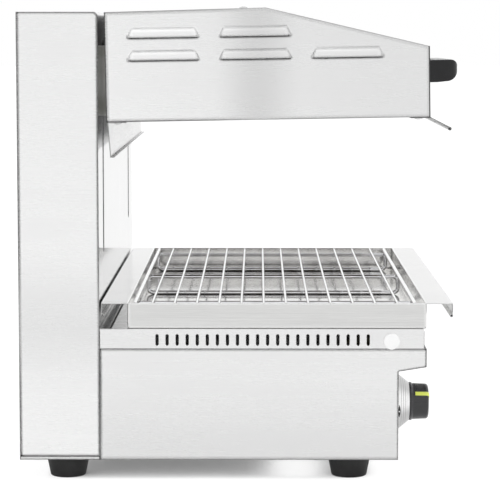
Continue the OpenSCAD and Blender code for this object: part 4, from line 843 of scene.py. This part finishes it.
for part in frame["record"]["subparts"]:
    name = part["node"]
    dress(nodes[name], FINISH_OF_NODE.get(name, FINISH_OF_SLOT[part["material_slot"]]))

# %% [markdown]
# ## Screws with a recess
#
# The CAD screws are plain pins with a head. The real ones are M4 pan heads, and countersunk
# ones at the back, with a punched cross recess. Each is built new, as rings of points from
# the tip of its shank up to the middle of its head, and the points of the head that lie in
# the cross are pushed down. Where each screw goes is read from the CAD mesh itself: its loose
# parts are the single screws, and the wide end of a screw is its head.

# %% Loose parts of a CAD mesh
MERGE_MM = 0.001
SHARP_DEG = 35


def loose_parts(node):
    """The separate solids of a CAD node, each as a list of its points, in the same order always."""
    graph = bmesh.new()
    graph.from_mesh(nodes[node].data)
    bmesh.ops.remove_doubles(graph, verts=graph.verts, dist=MERGE_MM * MM)
    waiting = set(graph.verts)
    parts = []
    for first in graph.verts:
        if first not in waiting:
            continue
        waiting.remove(first)
        found = [first]
        for vertex in found:
            for edge in vertex.link_edges:
                other = edge.other_vert(vertex)
                if other in waiting:
                    waiting.remove(other)
                    found.append(other)
        parts.append([vertex.co.copy() for vertex in found])
    graph.free()
    return sorted(parts, key=lambda part: tuple(round(v, 4) for v in part[0]))


def new_piece(name, graph, body, material):
    """Turns a bmesh into a smooth-shaded piece that rides on a body."""
    mesh = bpy.data.meshes.new(name)
    bmesh.ops.recalc_face_normals(graph, faces=graph.faces)
    graph.to_mesh(mesh)
    graph.free()
    piece = bpy.data.objects.new(name, mesh)
    bpy.context.collection.objects.link(piece)
    mesh.shade_smooth()
    mesh.set_sharp_from_angle(angle=math.radians(SHARP_DEG))
    mesh.materials.append(material)
    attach(piece, body)
    return piece


print("case screws found:", len(loose_parts("case_screws")))

# %% The profile of one screw
DOMED_MM = 0.5
TIP_MM = 0.4
TIP_SHARE = 0.7
RIM_SHARE = 0.35
ROUND_SHARE = 0.5
ROUND_IN = 0.03
PAN_CROWN = 0.93
FLAT_CROWN = 0.97
CROWN_RINGS = 9
CROWN_DROP = 0.42


def screw_profile(radius, thin, low, seat, high):
    """Radius and height of each ring, from the tip up to the head. The crown's rings come last."""
    head = high - seat
    profile = [(TIP_SHARE * thin, low), (thin, low + TIP_MM * MM)]
    if head > DOMED_MM * MM:
        profile += [(thin, seat), (radius, seat), (radius, seat + RIM_SHARE * head)]
        profile += [(radius - ROUND_IN * head, seat + ROUND_SHARE * head)]
        crown, fall = PAN_CROWN * radius, CROWN_DROP * head
    else:
        profile += [(thin, high - radius + thin), (radius, high)]
        crown, fall = FLAT_CROWN * radius, 0.0
    for step in range(CROWN_RINGS):
        share = (CROWN_RINGS - step) / CROWN_RINGS
        profile.append((crown * share, high - fall * share**2))
    return profile


print("a screw's crown has", CROWN_RINGS, "rings")

# %% The cross recess
RECESS_ARM_MM = 2.0
RECESS_WIDE_MM = 0.55
RECESS_DEEP_MM = 1.1
END_SLOPE_MM = 0.4
SIDE_SLOPE_MM = 0.2


def recess_depth(flat_x, flat_y):
    """How far a point of the crown is pushed down, by its place across the head."""
    deepest = 0.0
    for u, v in ((abs(flat_x), abs(flat_y)), (abs(flat_y), abs(flat_x))):
        from_end = (RECESS_ARM_MM * MM - u) / (END_SLOPE_MM * MM)
        from_side = (RECESS_WIDE_MM * MM - v) / (SIDE_SLOPE_MM * MM)
        deepest = max(deepest, min(max(min(from_end, from_side), 0.0), 1.0))
    return deepest * RECESS_DEEP_MM * MM


print("recess", 2 * RECESS_ARM_MM, "mm across and", RECESS_DEEP_MM, "mm deep")

# %% One screw
SEGMENTS = 40
RECESS_TURN_DEG = 20
TIP_END = 0.2
WIDE = 0.97


def screw(graph, points, axis):
    """Adds one screw over a CAD one. The axis may point either way along it."""
    middle = sum(points, Vector()) / len(points)
    middle -= axis * middle.dot(axis)

    def from_axis(point):
        return (point - axis * point.dot(axis) - middle).length

    along = [point.dot(axis) for point in points]
    widest = max(points, key=from_axis)
    if widest.dot(axis) < (min(along) + max(along)) / 2:
        axis = -axis
        along = [-value for value in along]
    low, high = min(along), max(along)
    radius = from_axis(widest)
    tip_high = low + TIP_END * (high - low)
    thin = max(from_axis(point) for point in points if point.dot(axis) < tip_high)
    seat = min(point.dot(axis) for point in points if from_axis(point) > WIDE * radius)
    profile = screw_profile(radius, thin, low, seat, high)
    across = axis.orthogonal().normalized()
    upright = axis.cross(across)
    turn = math.radians(RECESS_TURN_DEG)
    circles = []
    for number, (ring_radius, level) in enumerate(profile):
        on_crown = number >= len(profile) - CROWN_RINGS
        circle = []
        for k in range(SEGMENTS):
            angle = 2 * math.pi * k / SEGMENTS
            flat_x, flat_y = ring_radius * math.cos(angle), ring_radius * math.sin(angle)
            depth = recess_depth(flat_x, flat_y) if on_crown else 0.0
            spun_x = flat_x * math.cos(turn) - flat_y * math.sin(turn)
            spun_y = flat_x * math.sin(turn) + flat_y * math.cos(turn)
            place = middle + across * spun_x + upright * spun_y + axis * (level - depth)
            circle.append(graph.verts.new(place))
        circles.append(circle)
    for lower, upper in zip(circles, circles[1:]):
        for k in range(SEGMENTS):
            following = (k + 1) % SEGMENTS
            graph.faces.new((lower[k], lower[following], upper[following], upper[k]))
    graph.faces.new(circles[0][::-1])
    bottom = graph.verts.new(middle + axis * (high - RECESS_DEEP_MM * MM))
    for k in range(SEGMENTS):
        graph.faces.new((circles[-1][k], circles[-1][(k + 1) % SEGMENTS], bottom))


print("each ring of a screw has", SEGMENTS, "points")

# %% All the sheet metal screws
UP = Vector((0, 0, 1))
BACK = Vector((0, 1, 0))
for node, body, upright in (("case_screws", "base", UP), ("hood_screws", "hood", HOOD_UP)):
    graph = bmesh.new()
    count = 0
    for points in loose_parts(node):
        height = max(p.z for p in points) - min(p.z for p in points)
        depth = max(p.y for p in points) - min(p.y for p in points)
        screw(graph, points, upright if height < depth else BACK)
        count += 1
    recessed = new_piece(node + "_recessed", graph, body, screw_steel)
    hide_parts(node)
    print(recessed.name, count, "screws")

# %% [markdown]
# ## Welds on the rack
#
# Each wire of the rack is resistance welded to the loops below it. The current squeezes a
# little metal out on both sides of the joint, and after chroming that is a small bright
# fillet at every crossing. A flattened ball with an uneven skin stands in for it, half sunk
# into both rods. The wires and loops are loose parts of the CAD mesh again, so their middles
# give the crossings.

# %% Rack welds
WELD_MM = (1.9, 1.9, 0.75)
SIZE_SPREAD = (0.85, 1.15)
SKIN_SPREAD = (0.94, 1.04)

dice = random.Random(7)
loops = []
for part in loose_parts("rack_foot_loops"):
    xs = [point.x for point in part]
    loops.append(((min(xs) + max(xs)) / 2, max(point.z for point in part)))
wires = []
for part in loose_parts("rack_grid"):
    ys = [point.y for point in part]
    wires.append((min(ys) + max(ys)) / 2)
graph = bmesh.new()
for loop_x, crown in loops:
    for wire_y in wires:
        size = [side * MM * dice.uniform(*SIZE_SPREAD) for side in WELD_MM]
        place = Matrix.Translation((loop_x, wire_y, crown)) @ Matrix.Diagonal((*size, 1))
        ball = bmesh.ops.create_icosphere(graph, subdivisions=2, radius=1.0)["verts"]
        for vertex in ball:
            vertex.co *= dice.uniform(*SKIN_SPREAD)
        bmesh.ops.transform(graph, matrix=place, verts=ball)
new_piece("rack_welds", graph, "rack", rack_wire)
print("welds:", len(loops), "loops by", len(wires), "wires")

# %% [markdown]
# ## Done
#

# %% View settings and the end
bpy.context.scene.view_settings.view_transform = "Standard"
